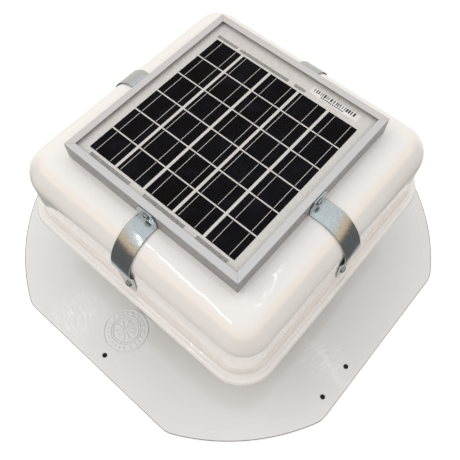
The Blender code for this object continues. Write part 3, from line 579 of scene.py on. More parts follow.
class AtticFanSizes(bpy.types.PropertyGroup):
    flashing_bulge: length_field("Flashing bulge", "Reach of the flashing's arcs past its flats", 0.034)
    throat_radius: length_field("Throat radius", "Outside of the flashing's round throat", 0.1662)
    nail_hole: length_field("Nail hole radius", "Nail holes near the flashing's flats", 0.0038)
    mark_radius: length_field("Mark radius", "Pressed rings on the flashing", 0.0345)
    hood_corner: length_field("Hood corner", "Radius of the hood's upright corners", 0.042)
    hood_shoulder: length_field("Hood shoulder", "Radius from the hood's top into its walls", 0.046)
    lip_top: length_field("Lip height", "Height of the hood's flared lip above the roof", 0.124)
    strap_width: length_field("Strap width", "Width of the panel's straps", 0.033)
    head_radius: length_field("Screw head radius", "Radius of the pan heads", 0.0056)
    cell_columns: IntProperty(name="Cell columns", description="Cells from left to right", default=5)
    cell_rows: IntProperty(name="Cell rows", description="Cells from front to back", default=6)
    blades: IntProperty(name="Blades", description="Blades of the fan wheel", default=5)


class AtticFanColours(bpy.types.PropertyGroup):
    hood: colour_field("Hood", "Enamel of the hood", (0.80, 0.80, 0.80))
    flashing: colour_field("Flashing", "Enamel of the flashing", (0.755, 0.77, 0.78))
    zinc: colour_field("Zinc", "Plating of straps and screws", (0.50, 0.545, 0.56))
    frame: colour_field("Panel frame", "Anodised rails", (0.50, 0.50, 0.51))
    cell: colour_field("Cells", "Silicon cells", (0.0030, 0.0022, 0.0022))
    backing: colour_field("Backing", "White sheet behind the cells", (0.72, 0.71, 0.70))


class AtticFanStage(bpy.types.PropertyGroup):
    azimuth: angle_field("Azimuth", "Turn of the camera round the fan", 40.19)
    elevation: angle_field("Elevation", "Camera above the horizon", 63.1)
    roll: angle_field("Roll", "Camera's tilt", 0.7)
    distance: length_field("Distance", "Camera to the point it looks at", 0.9575)
    target: FloatVectorProperty(
        name="Target", description="Point the camera looks at", default=(0.0037, -0.0002, 0.0), subtype="XYZ")
    lens: FloatProperty(name="Lens", description="Focal length in millimetres", default=43.36)
    sky: FloatProperty(name="Sky", description="Strength of the light from all round", default=1.0)
    key: FloatProperty(name="Key light", description="Power of the large lamp", default=11.0, unit="POWER")


# Flashing

FLASHING_SHEET = low("hood_leg_right").z - GAP
RIM_COLUMNS = 600
CORNER_BLEND = 0.0016
NAIL_INSET = 0.020


def flashing_rim(turn, bulge):
    """Distance from the axis to the flashing's edge at each turn angle.

    It is the smaller of the disc's radius and the flat's distance, half / max(|cos|, |sin|), blended softly
    as -b ln(exp(-flat / b) + exp(-radius / b)), so that the corners between them are a little rounded.
    """
    flat = FLASHING_HALF / np.maximum(np.abs(np.cos(turn)), np.abs(np.sin(turn)))
    disc = FLASHING_HALF + bulge
    least = np.minimum(flat, disc)
    return least - CORNER_BLEND * np.log(sum(np.exp((least - part) / CORNER_BLEND) for part in (flat, disc)))


def flashing_grid(sizes):
    """The flashing's upper side: rows down the throat and out over the plate, columns round the axis.

    Plate rows are throat + share * (rim - throat), and the plate carries fine round draw ridges near its rim
    and slow waves under half a millimetre high.
    """
    turn = np.linspace(0, math.tau, RIM_COLUMNS, endpoint=False)
    throat, fillet, sheet = sizes.throat_radius, 0.012, FLASHING_SHEET
    bead = arc((throat + 0.0005, THROAT_TOP - 0.0018), 0.0018, 20, 180, 5)
    wall = np.column_stack([np.full(7, throat), np.linspace(THROAT_TOP - 0.006, sheet + fillet + 0.004, 7)])
    bend = arc((throat + fillet, sheet + fillet), fillet, 180, 270, 7)
    upright = lathe(np.concatenate([bead, wall, bend]), RIM_COLUMNS)
    inner = throat + fillet
    share = np.concatenate([np.linspace(0, 0.72, 21)[1:], np.linspace(0.72, 0.995, 26)[1:], [1]])[:, None]
    radius = inner + share * (flashing_rim(turn, sizes.flashing_bulge) - inner)
    x, y = radius * np.cos(turn), radius * np.sin(turn)
    from_rim = FLASHING_HALF + sizes.flashing_bulge - radius
    ridges = 0.00011 * np.cos(math.tau * from_rim / 0.0075) * bell(from_rim, 0.016, 0.011)
    slow = 0.00035 * waves(x + 0.6 * y, (0.11, 0.19, 0.31), 3)
    edge_ease = np.clip((1 - share) * 8, 0, 1) * np.clip(share * 8, 0, 1)
    height = sheet + ridges * np.clip((1 - share) * 30, 0, 1) + slow * edge_ease
    return np.concatenate([upright, np.stack([x, y, height], 2)])


def nail_hole_places():
    """Two holes toward one end of the right and left flats, and one in the middle of the front and back."""
    edge = FLASHING_HALF - NAIL_INSET
    sides = [(edge * sign, sign * y) for sign in (1, -1) for y in (-0.122, -0.062)]
    return sides + [(0, edge), (0, -edge)]


def mark_grid(outer):
    """A round patch whose height is a sum of bells: three rings, dashes between two of them, five petals."""
    radius, inner, core = 1.06 * outer, 0.68 * outer, 0.58 * outer
    r = np.linspace(0, radius, 110)[:, None]
    turn = np.linspace(0, math.tau, 360, endpoint=False)[None, :]
    dashes = bell(r, (outer + inner) / 2, 0.0024) * np.clip(2 * np.cos(22 * turn + np.sin(5 * turn)), 0, 1)
    petals = bell(np.abs(np.sin(2.5 * (turn + 9.0 * r))), 0.75, 0.22) * (r > 0.16 * core) * (r < 0.80 * core)
    rings = bell(r, outer, 0.0011) + bell(r, inner, 0.0009) + bell(r, core, 0.0007)
    height = 0.0010 * np.clip(rings + 0.8 * dashes + 0.8 * petals, 0, 1)
    skin = 0.00042 * np.clip((radius - r) / 0.0012, 0, 1)
    top = np.stack([r * np.cos(turn), r * np.sin(turn), FLASHING_SHEET + skin + height], 2)
    skirt = top[-1:] - np.array([0, 0, 0.0008])
    base = top[:1] * np.array([1, 1, 0]) + np.array([0, 0, FLASHING_SHEET - 0.0008])
    return np.concatenate([top, skirt, base]) + np.array([-0.004, -(FLASHING_HALF - 0.069), 0.0])


class ATTICFAN_OT_flashing(bpy.types.Operator):
    """Roof flashing with its throat, nail holes and pressed mark"""

    bl_idname = "atticfan.flashing"
    bl_label = "Flashing"

    def execute(self, context):
        sizes, sheet = context.scene.attic_fan_sizes, FLASHING_SHEET
        plate = surface("flashing_plate", [flashing_grid(sizes)], finish("flashing_enamel"), solid=False,
                        edges=finish("cut_edge"))
        # Painted shade: the plate's outermost row on top takes the dark edge finish, drawing a thin shade
        # line along the outline.
        outline_shade_faces = np.zeros(len(plate.data.polygons), np.int32)
        outline_shade_faces[-RIM_COLUMNS:] = 1
        plate.data.polygons.foreach_set("material_index", outline_shade_faces)
        thicken(plate, sheet, rim=1)
        bore = [(0, sheet * 3), (sizes.nail_hole, sheet * 3), (sizes.nail_hole, -sheet), (0, -sheet)]
        bores = [lathe(bore, 32) + np.array([x, y, 0]) for x, y in nail_hole_places()]
        drills = surface("nail_drills", bores, finish("cut_edge"))
        cut = plate.modifiers.new("nail_holes", "BOOLEAN")
        cut.operation = "DIFFERENCE"
        cut.object = drills
        context.view_layer.update()
        mesh = bpy.data.meshes.new_from_object(plate.evaluated_get(context.evaluated_depsgraph_get()))
        plate.modifiers.clear()
        plate.data = mesh
        bpy.data.objects.remove(drills)
        fit(plate, "grey_enamel", "flashing")
        add_piece("pressed_mark", "flashing_enamel", "grey_enamel", [mark_grid(sizes.mark_radius)])
        return {"FINISHED"}


# Hood

LOW_WALL_ROW = 40


def hood_grid(sizes):
    """The hood's outer side: loops from the lead's hole over the crown, shoulder and wall to the hemmed lip.

    Shoulder: (crown + R cos t, top - R + R sin t).  The crown's loops turn from the square into the lead
    hole's circle by a share.  Every loop is moved along its normals by ripples: slow ones on the shoulder and
    draw wrinkles low on the wall that are strongest near the corners.
    """
    shoulder, lip_top, fillet, roll = sizes.hood_shoulder, sizes.lip_top, 0.008, 0.005
    crown = WALL_HALF - shoulder
    wall_z = np.linspace(HOOD_TOP - shoulder, lip_top + fillet, 11)[1:-1]
    half, z = np.concatenate([
        arc((crown, HOOD_TOP - shoulder), shoulder, 90, 0, 22),
        np.column_stack([np.full(9, WALL_HALF), wall_z]),
        arc((WALL_HALF + fillet, lip_top + fillet), fillet, 180, 262, 9),
        arc((LIP_HALF - roll, lip_top - roll + 0.0006), roll, 100, 0, 9),
        arc((LIP_HALF - 0.0016, lip_top - roll - 0.0022), 0.0016, 0, -150, 5),
    ]).T
    loops = square_loops(half, sizes.hood_corner + 0.8 * (half - WALL_HALF))
    grommet_low, grommet_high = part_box("lead_grommet")
    hole = 1j * (grommet_low.y + grommet_high.y) / 2 + 0.0052 * np.exp(1j * np.angle(loops[0]))
    share = np.linspace(0, 1, 12)[:-1, None]
    crown_loops = hole + (loops[0] - hole) * share ** 0.8
    plan = np.concatenate([crown_loops, loops])
    height = np.concatenate([np.full(len(crown_loops), HOOD_TOP), z])
    grid = np.stack([plan.real, plan.imag, np.repeat(height[:, None], plan.shape[1], 1)], 2)

    wall_loop = loops[LOW_WALL_ROW]
    along = np.concatenate([[0], np.cumsum(np.abs(np.diff(wall_loop)))])
    round_share = along / (along[-1] + abs(wall_loop[0] - wall_loop[-1])) * math.tau
    corner_share = np.abs(np.sin(2 * np.angle(wall_loop))) ** 6
    draw = sum(np.sin(n * round_share + p) for n, p in ((11, 0.3), (18, 1.9), (31, 4.0))) / 3
    slow = sum(np.sin(n * round_share + p) for n, p in ((13, 1.0), (23, 2.6), (37, 0.4))) / 3
    low_wall = bell(grid[:, :, 2], lip_top + 0.012, 0.016) * (plan.real ** 2 + plan.imag ** 2 > 0.03)
    on_shoulder = bell(grid[:, :, 2], HOOD_TOP - 0.018, 0.020) * (np.abs(plan) > crown * 0.98)
    ripple = 0.00010 * low_wall * draw * (0.5 + 1.2 * corner_share) + 0.00010 * on_shoulder * slow
    return grid + grid_normals(grid) * ripple[:, :, None]


class ATTICFAN_OT_hood(bpy.types.Operator):
    """Square pan hood with round shoulders and a flared, hemmed lip"""

    bl_idname = "atticfan.hood"
    bl_label = "Hood"

    def execute(self, context):
        grid = hood_grid(context.scene.attic_fan_sizes)
        shell = surface("hood_shell", [grid], finish("hood_enamel"), solid=False)
        thicken(shell, HOOD_SHEET * 0.9)
        fit(shell, "white_enamel", "hood")
        return {"FINISHED"}


# Straps and legs

STRAP_SHEET = 0.0016
LEG_SHEET = 0.0015
MOTOR_STRAP_SHEET = 0.002
LEG_HALF = 0.015


def strap_spine(side, sizes):
    """The panel strap's inner line as (x, z, half width): down the rail, out over the hood, round the
    shoulder and down the wall.  The bend is an arc, centre + R * (sin h, cos h), h the line's heading."""
    half, tab = sizes.strap_width / 2, 0.011
    flat_z, wall = HOOD_TOP + GAP, WALL_HALF + GAP
    rail = REACH[side] + GAP
    top, bottom = STRAP_HIGH.z, STRAP_LOW.z
    crease_x, crease = WALL_HALF - sizes.hood_shoulder + 0.012, math.radians(20)
    radius = (STRAP_HIGH.x - STRAP_SHEET - crease_x) / (1 - math.sin(crease))
    heading = np.linspace(crease, math.pi / 2, 16)[1:]
    over = np.column_stack([crease_x + radius * (np.sin(heading) - math.sin(crease)),
                            flat_z - radius * (math.cos(crease) - np.cos(heading)), np.full(15, half)])
    start = [(rail, top, tab), (rail, top - 0.008, half), (rail, flat_z, half), (crease_x, flat_z, half)]
    end = [(wall, over[-1, 1] - 0.012, half), (wall, bottom + 0.020, half * 0.93), (wall, bottom, tab)]
    return np.concatenate([start, over, end])


class ATTICFAN_OT_straps(bpy.types.Operator):
    """Zinc-plated straps from the panel's rails to the hood's walls"""

    bl_idname = "atticfan.straps"
    bl_label = "Panel straps"

    def execute(self, context):
        for side, degrees in SIDES.items():
            grid = strip_grid(strap_spine(side, context.scene.attic_fan_sizes), STRAP_SHEET, bend=0.0022)
            add_piece(f"strap_{side}", "zinc_strip", "zinc_strip", [turned(grid, degrees)],
                      f"panel_strap_{side}", **CAPPED)
        return {"FINISHED"}


class ATTICFAN_OT_legs(bpy.types.Operator):
    """Legs that carry the hood from the flashing, and the two crossed straps that carry the motor"""

    bl_idname = "atticfan.legs"
    bl_label = "Legs and motor straps"

    def execute(self, context):
        leg_low, leg_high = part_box("hood_leg_right")
        toe, heel, foot, top = leg_low.x, leg_high.x, leg_low.z, leg_high.z
        spine = [(toe, foot, LEG_HALF - 0.002), (toe + 0.003, foot, LEG_HALF), (heel, foot, LEG_HALF),
                 (heel, top - 0.006, LEG_HALF), (heel, top, LEG_HALF - 0.006)]
        for side, degrees in SIDES.items():
            grid = turned(strip_grid(spine, LEG_SHEET), degrees)
            add_piece(f"leg_{side}", "zinc_strip", "zinc_strip", [grid], f"hood_leg_{side}", **CAPPED)
        for node, degrees in (("motor_strap_lower", 0), ("motor_strap_upper", 90)):
            strap_low, strap_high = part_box(node)
            reach = max(strap_high.x, strap_high.y)
            spine = [(x, z, LEG_HALF) for x, z in ((-reach, strap_high.z), (-reach, strap_low.z),
                                                   (reach, strap_low.z), (reach, strap_high.z))]
            grid = turned(strip_grid(spine, MOTOR_STRAP_SHEET), degrees)
            add_piece(f"{node}_strip", "zinc_strip", "zinc_strip", [grid], node, **CAPPED)
        return {"FINISHED"}


# Fasteners

HEAD_HEIGHT = 0.0034
DOME_ROWS = 19
SHANK_RADIUS = 0.0022
NUT_HALF, NUT_BORE, NUT_HEIGHT = 0.0044, 0.0025, 0.0032


def pan_head_grid(radius, height, shank, length):
    """A pan-head screw about Z with a cross recess.

    The head is height * (1 - 0.4 (r / radius)^2) with a round edge.  The recess lowers it where the smaller
    of |x|, |y| is under the slot's half width, and gets shallower toward the slot's ends.
    """
    dome_r = np.linspace(0, 0.9 * radius, DOME_ROWS)
    dome = np.column_stack([dome_r, height * (1 - 0.4 * (dome_r / radius) ** 2)])
    edge = rounded([dome[-1], (radius, height * 0.55), (radius, 0.0002), (radius - 0.0002, 0)], 0.0005)[1:]
    tail = [(shank, 0), (shank, -length + 0.0006), (shank - 0.0006, -length), (0, -length)]
    grid = lathe(np.concatenate([dome, edge, tail]), 72)
    x, y = np.abs(grid[:DOME_ROWS, :, 0]), np.abs(grid[:DOME_ROWS, :, 1])
    narrow, wide = np.minimum(x, y), np.maximum(x, y)
    slot, reach = 0.16 * radius, 0.62 * radius
    across = np.clip((slot - narrow) / (0.25 * slot) + 0.5, 0, 1)
    along = np.clip((reach - wide) / (0.12 * radius), 0, 1)
    grid[:DOME_ROWS, :, 2] -= across * along * (0.62 * height) * (1 - 0.5 * wide / reach)
    return grid


def hex_nut_grid(across, bore, height):
    """A hexagon nut about Z, its corners cut by a cone.

    Its radius is across / cos of the angle from the nearest flat's middle.
    """
    turn = np.linspace(0, math.tau, 96, endpoint=False)
    hexagon = across / np.cos((turn + math.pi / 6) % (math.pi / 3) - math.pi / 6)
    cone, hole, chamfer = across * 1.02, bore, 0.0004
    rows = [(hole, -height), (cone, -height), (hexagon, chamfer - height), (hexagon, -chamfer), (cone, 0),
            (hole, 0)]
    return np.stack([np.stack([r * np.cos(turn), r * np.sin(turn), np.full(96, z)], 1) for r, z in rows])


class ATTICFAN_OT_fasteners(bpy.types.Operator):
    """Cross-recessed pan-head screws on the straps, and the nuts inside the hood"""

    bl_idname = "atticfan.fasteners"
    bl_label = "Fasteners"

    def execute(self, context):
        radius = context.scene.attic_fan_sizes.head_radius
        nut = hex_nut_grid(NUT_HALF, NUT_BORE, NUT_HEIGHT)
        for index, (side, degrees) in enumerate(SIDES.items()):
            for kind, z, slot_turn in (("hood", HOOD_SCREW_Z, 25), ("rail", RAIL_SCREW_Z, 62)):
                node = f"{kind}_screw_{side}"
                across = high(node) - low(node)
                length = max(across.x, across.y) - HEAD_HEIGHT
                grid = pan_head_grid(radius, HEAD_HEIGHT, SHANK_RADIUS, length)
                grid = facing(turned(grid, slot_turn + 37 * index), degrees, furthest(node) - HEAD_HEIGHT, z)
                add_piece(f"{kind}_screw_head_{side}", "zinc_fastener", "zinc_fastener", [grid], node)
            node = f"hood_nut_{side}"
            grid = facing(nut, degrees, furthest(node), HOOD_SCREW_Z)
            add_piece(f"hex_nut_{side}", "zinc_fastener", "zinc_fastener", [grid], node, **RING)
        return {"FINISHED"}


# Solar panel

def rail_section():
    """The rail's section as (distance in from the outer face, height), its corners slightly rounded."""
    height = PANEL_TOP - RAIL_BOTTOM
    wall, lip, sheet, foot = 0.0018, 0.010, 0.0015, 0.014
    shelf = SHEET_LOW.z - GAP - RAIL_BOTTOM
    under_lip, under_shelf = height - sheet, shelf - sheet
    outline = [(0, 0), (0, height), (lip, height), (lip, under_lip), (wall, under_lip), (wall, shelf),
               (lip, shelf), (lip, under_shelf), (wall, under_shelf), (wall, sheet), (foot, sheet), (foot, 0)]
    return rounded(outline, 0.0004, closed=True, steps=3)


class ATTICFAN_OT_panel_frame(bpy.types.Operator):
    """Four mitred aluminium rails round the solar panel"""

    bl_idname = "atticfan.panel_frame"
    bl_label = "Panel frame"

    def execute(self, context):
        inset, height = rail_section().T
        share = np.linspace(-1, 1, 9)[:, None]
        for side, degrees in SIDES.items():
            reach = REACH[side]
            y = share * (PANEL_X + PANEL_Y - reach - inset - GAP / 2)
            grid = np.stack([y * 0 + reach - inset, y, y * 0 + RAIL_BOTTOM + height], 2)
            add_piece(f"rail_{side}", "anodised_aluminium", "anodised_frame", [turned(grid, degrees)],
                      f"frame_rail_{side}", **CAPPED)
        return {"FINISHED"}


def cell_field(sizes):
    """Columns and rows of cells: lists of (start, stop) along X and along Y."""
    fields = []
    for start, stop, count, gap in ((-PANEL_X + 0.0238, PANEL_X - 0.0232, sizes.cell_columns, 0.0042),
                                    (-PANEL_Y + 0.0209, PANEL_Y - 0.0382, sizes.cell_rows, 0.0021)):
        size = (stop - start - gap * (count - 1)) / count
        first = start + np.arange(count) * (size + gap)
        fields.append(np.column_stack([first, first + size]))
    return fields


class ATTICFAN_OT_panel_cells(bpy.types.Operator):
    """Cells, busbars, string ribbons, backing, stock label and cover glass"""

    bl_idname = "atticfan.panel_cells"
    bl_label = "Panel cells"

    def execute(self, context):
        columns, rows = cell_field(context.scene.attic_fan_sizes)
        base = SHEET_HIGH.z - 0.00045
        cell_top = base + 0.0002
        sheet = [(SHEET_LOW.x, SHEET_LOW.y, SHEET_HIGH.x, SHEET_HIGH.y)]
        add_piece("backing_sheet", "back_sheet", "cell_sheet", slab_grids(sheet, SHEET_LOW.z, base),
                  "cell_laminate", **CAPPED)
        cells = [(x0, y0, x1, y1) for x0, x1 in columns for y0, y1 in rows]
        self.plates("silicon_cells", cells, base, cell_top, "silicon_cell", PLATE_EDGE)

        bars = []
        for index, (x0, x1) in enumerate(columns):
            for share in ((0.23, 0.80) if index % 2 == 0 else (0.12, 0.70)):
                x = x0 + share * (x1 - x0)
                bars += [(x - 0.0004, y0 + 0.0012, x + 0.0004, y1 - 0.0012) for y0, y1 in rows]
        self.plates("cell_busbars", bars, cell_top - 0.00005, cell_top + 0.00018, "busbar", PLATE_EDGE)

        front, back = rows[0, 0] - 0.0062, rows[-1, 1] + 0.0060
        spans = [(front, -0.113, -0.043), (front, -0.019, 0.049), (front, 0.068, 0.117),
                 (back, -0.124, -0.088), (back, -0.083, 0.003), (back, 0.014, 0.032)]
        ribbons = [(x0, y - 0.0024, x1, y + 0.0024) for y, x0, x1 in spans]
        self.plates("string_ribbons", ribbons, base - 0.0001, base + 0.0003, "string_ribbon", PLATE_EDGE)
        self.label(base)

        pane = slab_grids([(GLASS_LOW.x, GLASS_LOW.y, GLASS_HIGH.x, GLASS_HIGH.y)], GLASS_LOW.z, GLASS_HIGH.z,
                          0.0004)
        add_piece("cover_glass", "clear_glass", "solar_glass", pane, "solar_glass", **CAPPED)
        return {"FINISHED"}

    def plates(self, name, rectangles, bottom, top, finish_name, edge=0.0):
        add_piece(name, finish_name, "cell_sheet", slab_grids(rectangles, bottom, top, edge), **CAPPED)

    def label(self, base):
        """A stock label between the cells and the back rail: bars of seeded widths over a row of dashes."""
        x0, x1, y = 0.036, 0.113, PANEL_Y - 0.0225
        paper = [(x0, y - 0.0066, x1, y + 0.0056)]
        self.plates("stock_label", paper, base - 0.0001, base + 0.0002, "label_paper")
        widths = np.random.default_rng(11).choice([0.0011, 0.0016, 0.0025], 60)
        edges = x0 + 0.003 + np.cumsum(widths)
        bars = [(start, y - 0.0016, stop, y + 0.0046) for start, stop in zip(edges[:-1:2], edges[1::2])
                if stop < x1 - 0.003]
        bars += [(x, y - 0.0050, x + 0.0020, y - 0.0030) for x in np.arange(x0 + 0.018, x1 - 0.022, 0.0031)]
        self.plates("stock_label_bars", bars, base + 0.0001, base + 0.0003, "label_ink")


# Screen, wheel and motor

SCREEN_POSTS, SCREEN_RINGS, SCREEN_WIRE = 84, 8, 0.00045
SCREEN_TOP_RADIUS = 0.1475
BAND_HEIGHT, BAND_HALF_SHEET = 0.008, 0.0009
BLADE_ROOT = 0.034
RIVET_REACH, RIVET_SWING = 0.0395, 0.16
HUB_BORE, HUB_RADIUS, HUB_FLANGE = 0.0033, 0.011, 0.003


class ATTICFAN_OT_screen(bpy.types.Operator):
    """Woven wire screen between the throat and the hood's top, with a folded band at each end"""

    bl_idname = "atticfan.screen"
    bl_label = "Exhaust screen"

    def execute(self, context):
        screen_low, screen_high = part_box("exhaust_screen")
        z0, z1, posts, wire = screen_low.z, screen_high.z, SCREEN_POSTS, SCREEN_WIRE
        r0, r1 = screen_high.x - 0.0008, SCREEN_TOP_RADIUS

        def ring_radius(z):
            return r0 + (r1 - r0) / (z1 - z0) * (z - z0)

        turn = np.linspace(0, math.tau, posts * 4 + 1)
        grids = []
        for index, z in enumerate(np.linspace(z0 + 0.012, z1 - 0.012, SCREEN_RINGS)):
            radius = ring_radius(z) + wire * np.cos(posts / 2 * turn + math.pi * index)
            path = np.column_stack([radius * np.cos(turn), radius * np.sin(turn), np.full(len(turn), z)])
            grids.append(tube_grid(path, wire, 5))
        z = np.linspace(z0 + 0.004, z1 - 0.004, 3)
        radius = ring_radius(z)
        for a in np.arange(posts) * math.tau / posts:
            grids.append(tube_grid(np.column_stack([radius * math.cos(a), radius * math.sin(a), z]), wire, 5))
        add_piece("screen_wires", "screen_wire", "screen_steel", grids, "exhaust_screen")
        bands = []
        for z in (z0, z1 - BAND_HEIGHT):
            top_z, half = z + BAND_HEIGHT, BAND_HALF_SHEET
            foot, top = ring_radius(z) + 0.0002, ring_radius(top_z) + 0.0002
            section = [(foot + half, z), (top + half, top_z), (top - half, top_z), (foot - half, z)]
            bands.append(lathe(rounded(section, 0.0006, closed=True), 96))
        add_piece("screen_bands", "zinc_strip", "screen_steel", bands, **RING)
        return {"FINISHED"}


def blade_grid(count, index, root, tip):
    """One blade's middle surface, span rows by chord columns, turned to its place.

    At a span share s the chord grows as sin(s pi / 2), the pitch falls evenly, and a point at place p of the
    chord is lifted by camber * (1 - 4 p^2) * s.  The tip is trimmed round by a power of p.
    """
    share = np.linspace(0, 1, 25)[:, None]
    place = np.linspace(-0.5, 0.5, 21)[None, :]
    radius = root + (tip - root) * share - 0.010 * np.abs(2 * place) ** 4 * share ** 6
    chord = 0.042 + 0.050 * np.sin(share * math.pi / 2)
    pitch = np.radians(32 - 15 * share)
    turn = place * chord * np.cos(pitch) / (root + (tip - root) * share) + index * math.tau / count
    lift = -place * chord * np.sin(pitch) + 0.006 * (1 - 4 * place ** 2) * share
    middle = (WHEEL_LOW.z + WHEEL_HIGH.z) / 2 - 0.0015
    return np.stack([radius * np.cos(turn), radius * np.sin(turn), middle + lift], 2)


class ATTICFAN_OT_wheel(bpy.types.Operator):
    """Pressed aluminium fan wheel with its disc, rivets and hub"""

    bl_idname = "atticfan.wheel"
    bl_label = "Fan wheel"

    def execute(self, context):
        count = context.scene.attic_fan_sizes.blades
        hub_low, hub_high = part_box("fan_hub")
        flange_z = hub_high.z - HUB_FLANGE
        disc_z = flange_z - GAP - 0.0008
        grids = [blade_grid(count, index, BLADE_ROOT, WHEEL_HIGH.x) for index in range(count)]
        blades = surface("wheel_blades", grids, finish("wheel_aluminium"), closed=(False, False), solid=False)
        wall = blades.modifiers.new("wall", "SOLIDIFY")
        wall.thickness = 0.0012
        wall.offset = 0
        fit(blades, "wheel_aluminium", "fan_wheel", body="rotor")

        section = [(0.0113, disc_z - 0.0008), (0.0113, disc_z + 0.0008), (0.038, disc_z + 0.0008),
                   (0.046, disc_z + 0.0003), (0.046, disc_z - 0.0012), (0.038, disc_z - 0.0008)]
        self.add("wheel_disc", [lathe(rounded(section, 0.0006, closed=True), 96)], **RING)
        dome = [(0, 0.0018), (0.0014, 0.0016), (0.0026, 0.0009), (0.0030, 0), (0.0030, -0.0030), (0, -0.0030)]
        rivets = []
        swings = (-RIVET_SWING, RIVET_SWING)
        for turn in [index * math.tau / count + swing for index in range(count) for swing in swings]:
            x, y = RIVET_REACH * math.cos(turn), RIVET_REACH * math.sin(turn)
            place = np.array([x, y, disc_z + 0.0016])
            rivets.append(lathe(dome, 20) + place)
        self.add("wheel_rivets", rivets)
        bore, outer, flange = HUB_BORE, HUB_RADIUS, hub_high.x
        section = [(bore, hub_low.z), (bore, hub_high.z), (flange, hub_high.z), (flange, flange_z),
                   (outer, flange_z), (outer, hub_low.z)]
        self.add("wheel_hub", [lathe(rounded(section, 0.0005, closed=True), 72)], "fan_hub", **RING)
        return {"FINISHED"}

    def add(self, name, grids, *nodes, **options):
        add_piece(name, "wheel_aluminium", "wheel_aluminium", grids, *nodes, body="rotor", **options)


class ATTICFAN_OT_motor(bpy.types.Operator):
    """Motor can and its end cap"""

    bl_idname = "atticfan.motor"
    bl_label = "Motor"

    def execute(self, context):
        can_low, can_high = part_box("motor_can")
        radius, wall, seat, boss = can_high.x, 0.002, 0.0083, 0.012
        foot, top, floor = can_low.z, can_high.z, can_low.z + 0.003
        groove = radius - 0.0008
        section = [(0.0043, foot), (0.0043, floor - 0.001), (seat, floor - 0.001), (seat, floor + 0.004),
                   (boss, floor + 0.004), (boss + 0.002, floor), (radius - wall, floor), (radius - wall, top),
                   (radius, top), (radius, top - 0.010), (groove, top - 0.011), (groove, top - 0.013),
                   (radius, top - 0.014), (radius, foot)]
        add_piece("motor_body", "motor_enamel", "motor_enamel",
                  [lathe(rounded(section, 0.0015, closed=True), 96)], "motor_can", **RING)
        cap_low, cap_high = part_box("motor_cap")
        foot, top, rim = cap_low.z, cap_high.z, cap_low.z + 0.002
        step = top - 0.0012
        section = [(0, top), (radius - 0.012, top), (radius - 0.014, step), (radius - 0.005, step),
                   (radius, top - 0.0032), (radius, rim), (boss, rim), (boss, foot), (seat, foot),
                   (seat, top - 0.002), (0, top - 0.002)]
        add_piece("motor_end_cap", "black_plastic", "black_plastic", [lathe(rounded(section, 0.0008), 96)],
                  "motor_cap")
        return {"FINISHED"}


PLAIN_FINISHES = {
    "frame_key": "zinc_strip", "strap_rivet": "zinc_fastener", "motor_screw": "zinc_fastener",
    "junction": "black_plastic", "panel_lead": "black_rubber", "lead_grommet": "black_rubber",
    "motor_gland": "black_rubber", "bearing": "bearing_steel", "motor_shaft": "bearing_steel",
    "hub_set_screw": "bearing_steel", "magnet_ring": "core_steel", "armature": "core_steel",
}


class ATTICFAN_OT_plain_parts(bpy.types.Operator):
    """Finishes for the frame's own parts that keep their shape"""

    bl_idname = "atticfan.plain_parts"
    bl_label = "Plain parts"

    def execute(self, context):
        for name, node in frame["nodes"].items():
            for start, finish_name in PLAIN_FINISHES.items():
                if name.startswith(start):
                    node.data.materials.clear()
                    node.data.materials.append(finish(finish_name))
        return {"FINISHED"}


# Stage

SKY_STOPS = (
    (0.0, (0.17, 0.17, 0.17)), (0.13, (0.17, 0.16, 0.155)), (0.24, (0.40, 0.32, 0.25)),
    (0.31, (1.0, 0.72, 0.48)), (0.53, (1.0, 0.78, 0.58)), (0.63, (1.0, 0.98, 0.96)), (1.0, (0.93, 0.97, 1.0)),
)
WHITE = (1.0, 1.0, 1.0)
TUBE_WHITE = (1.0, 0.99, 0.97)


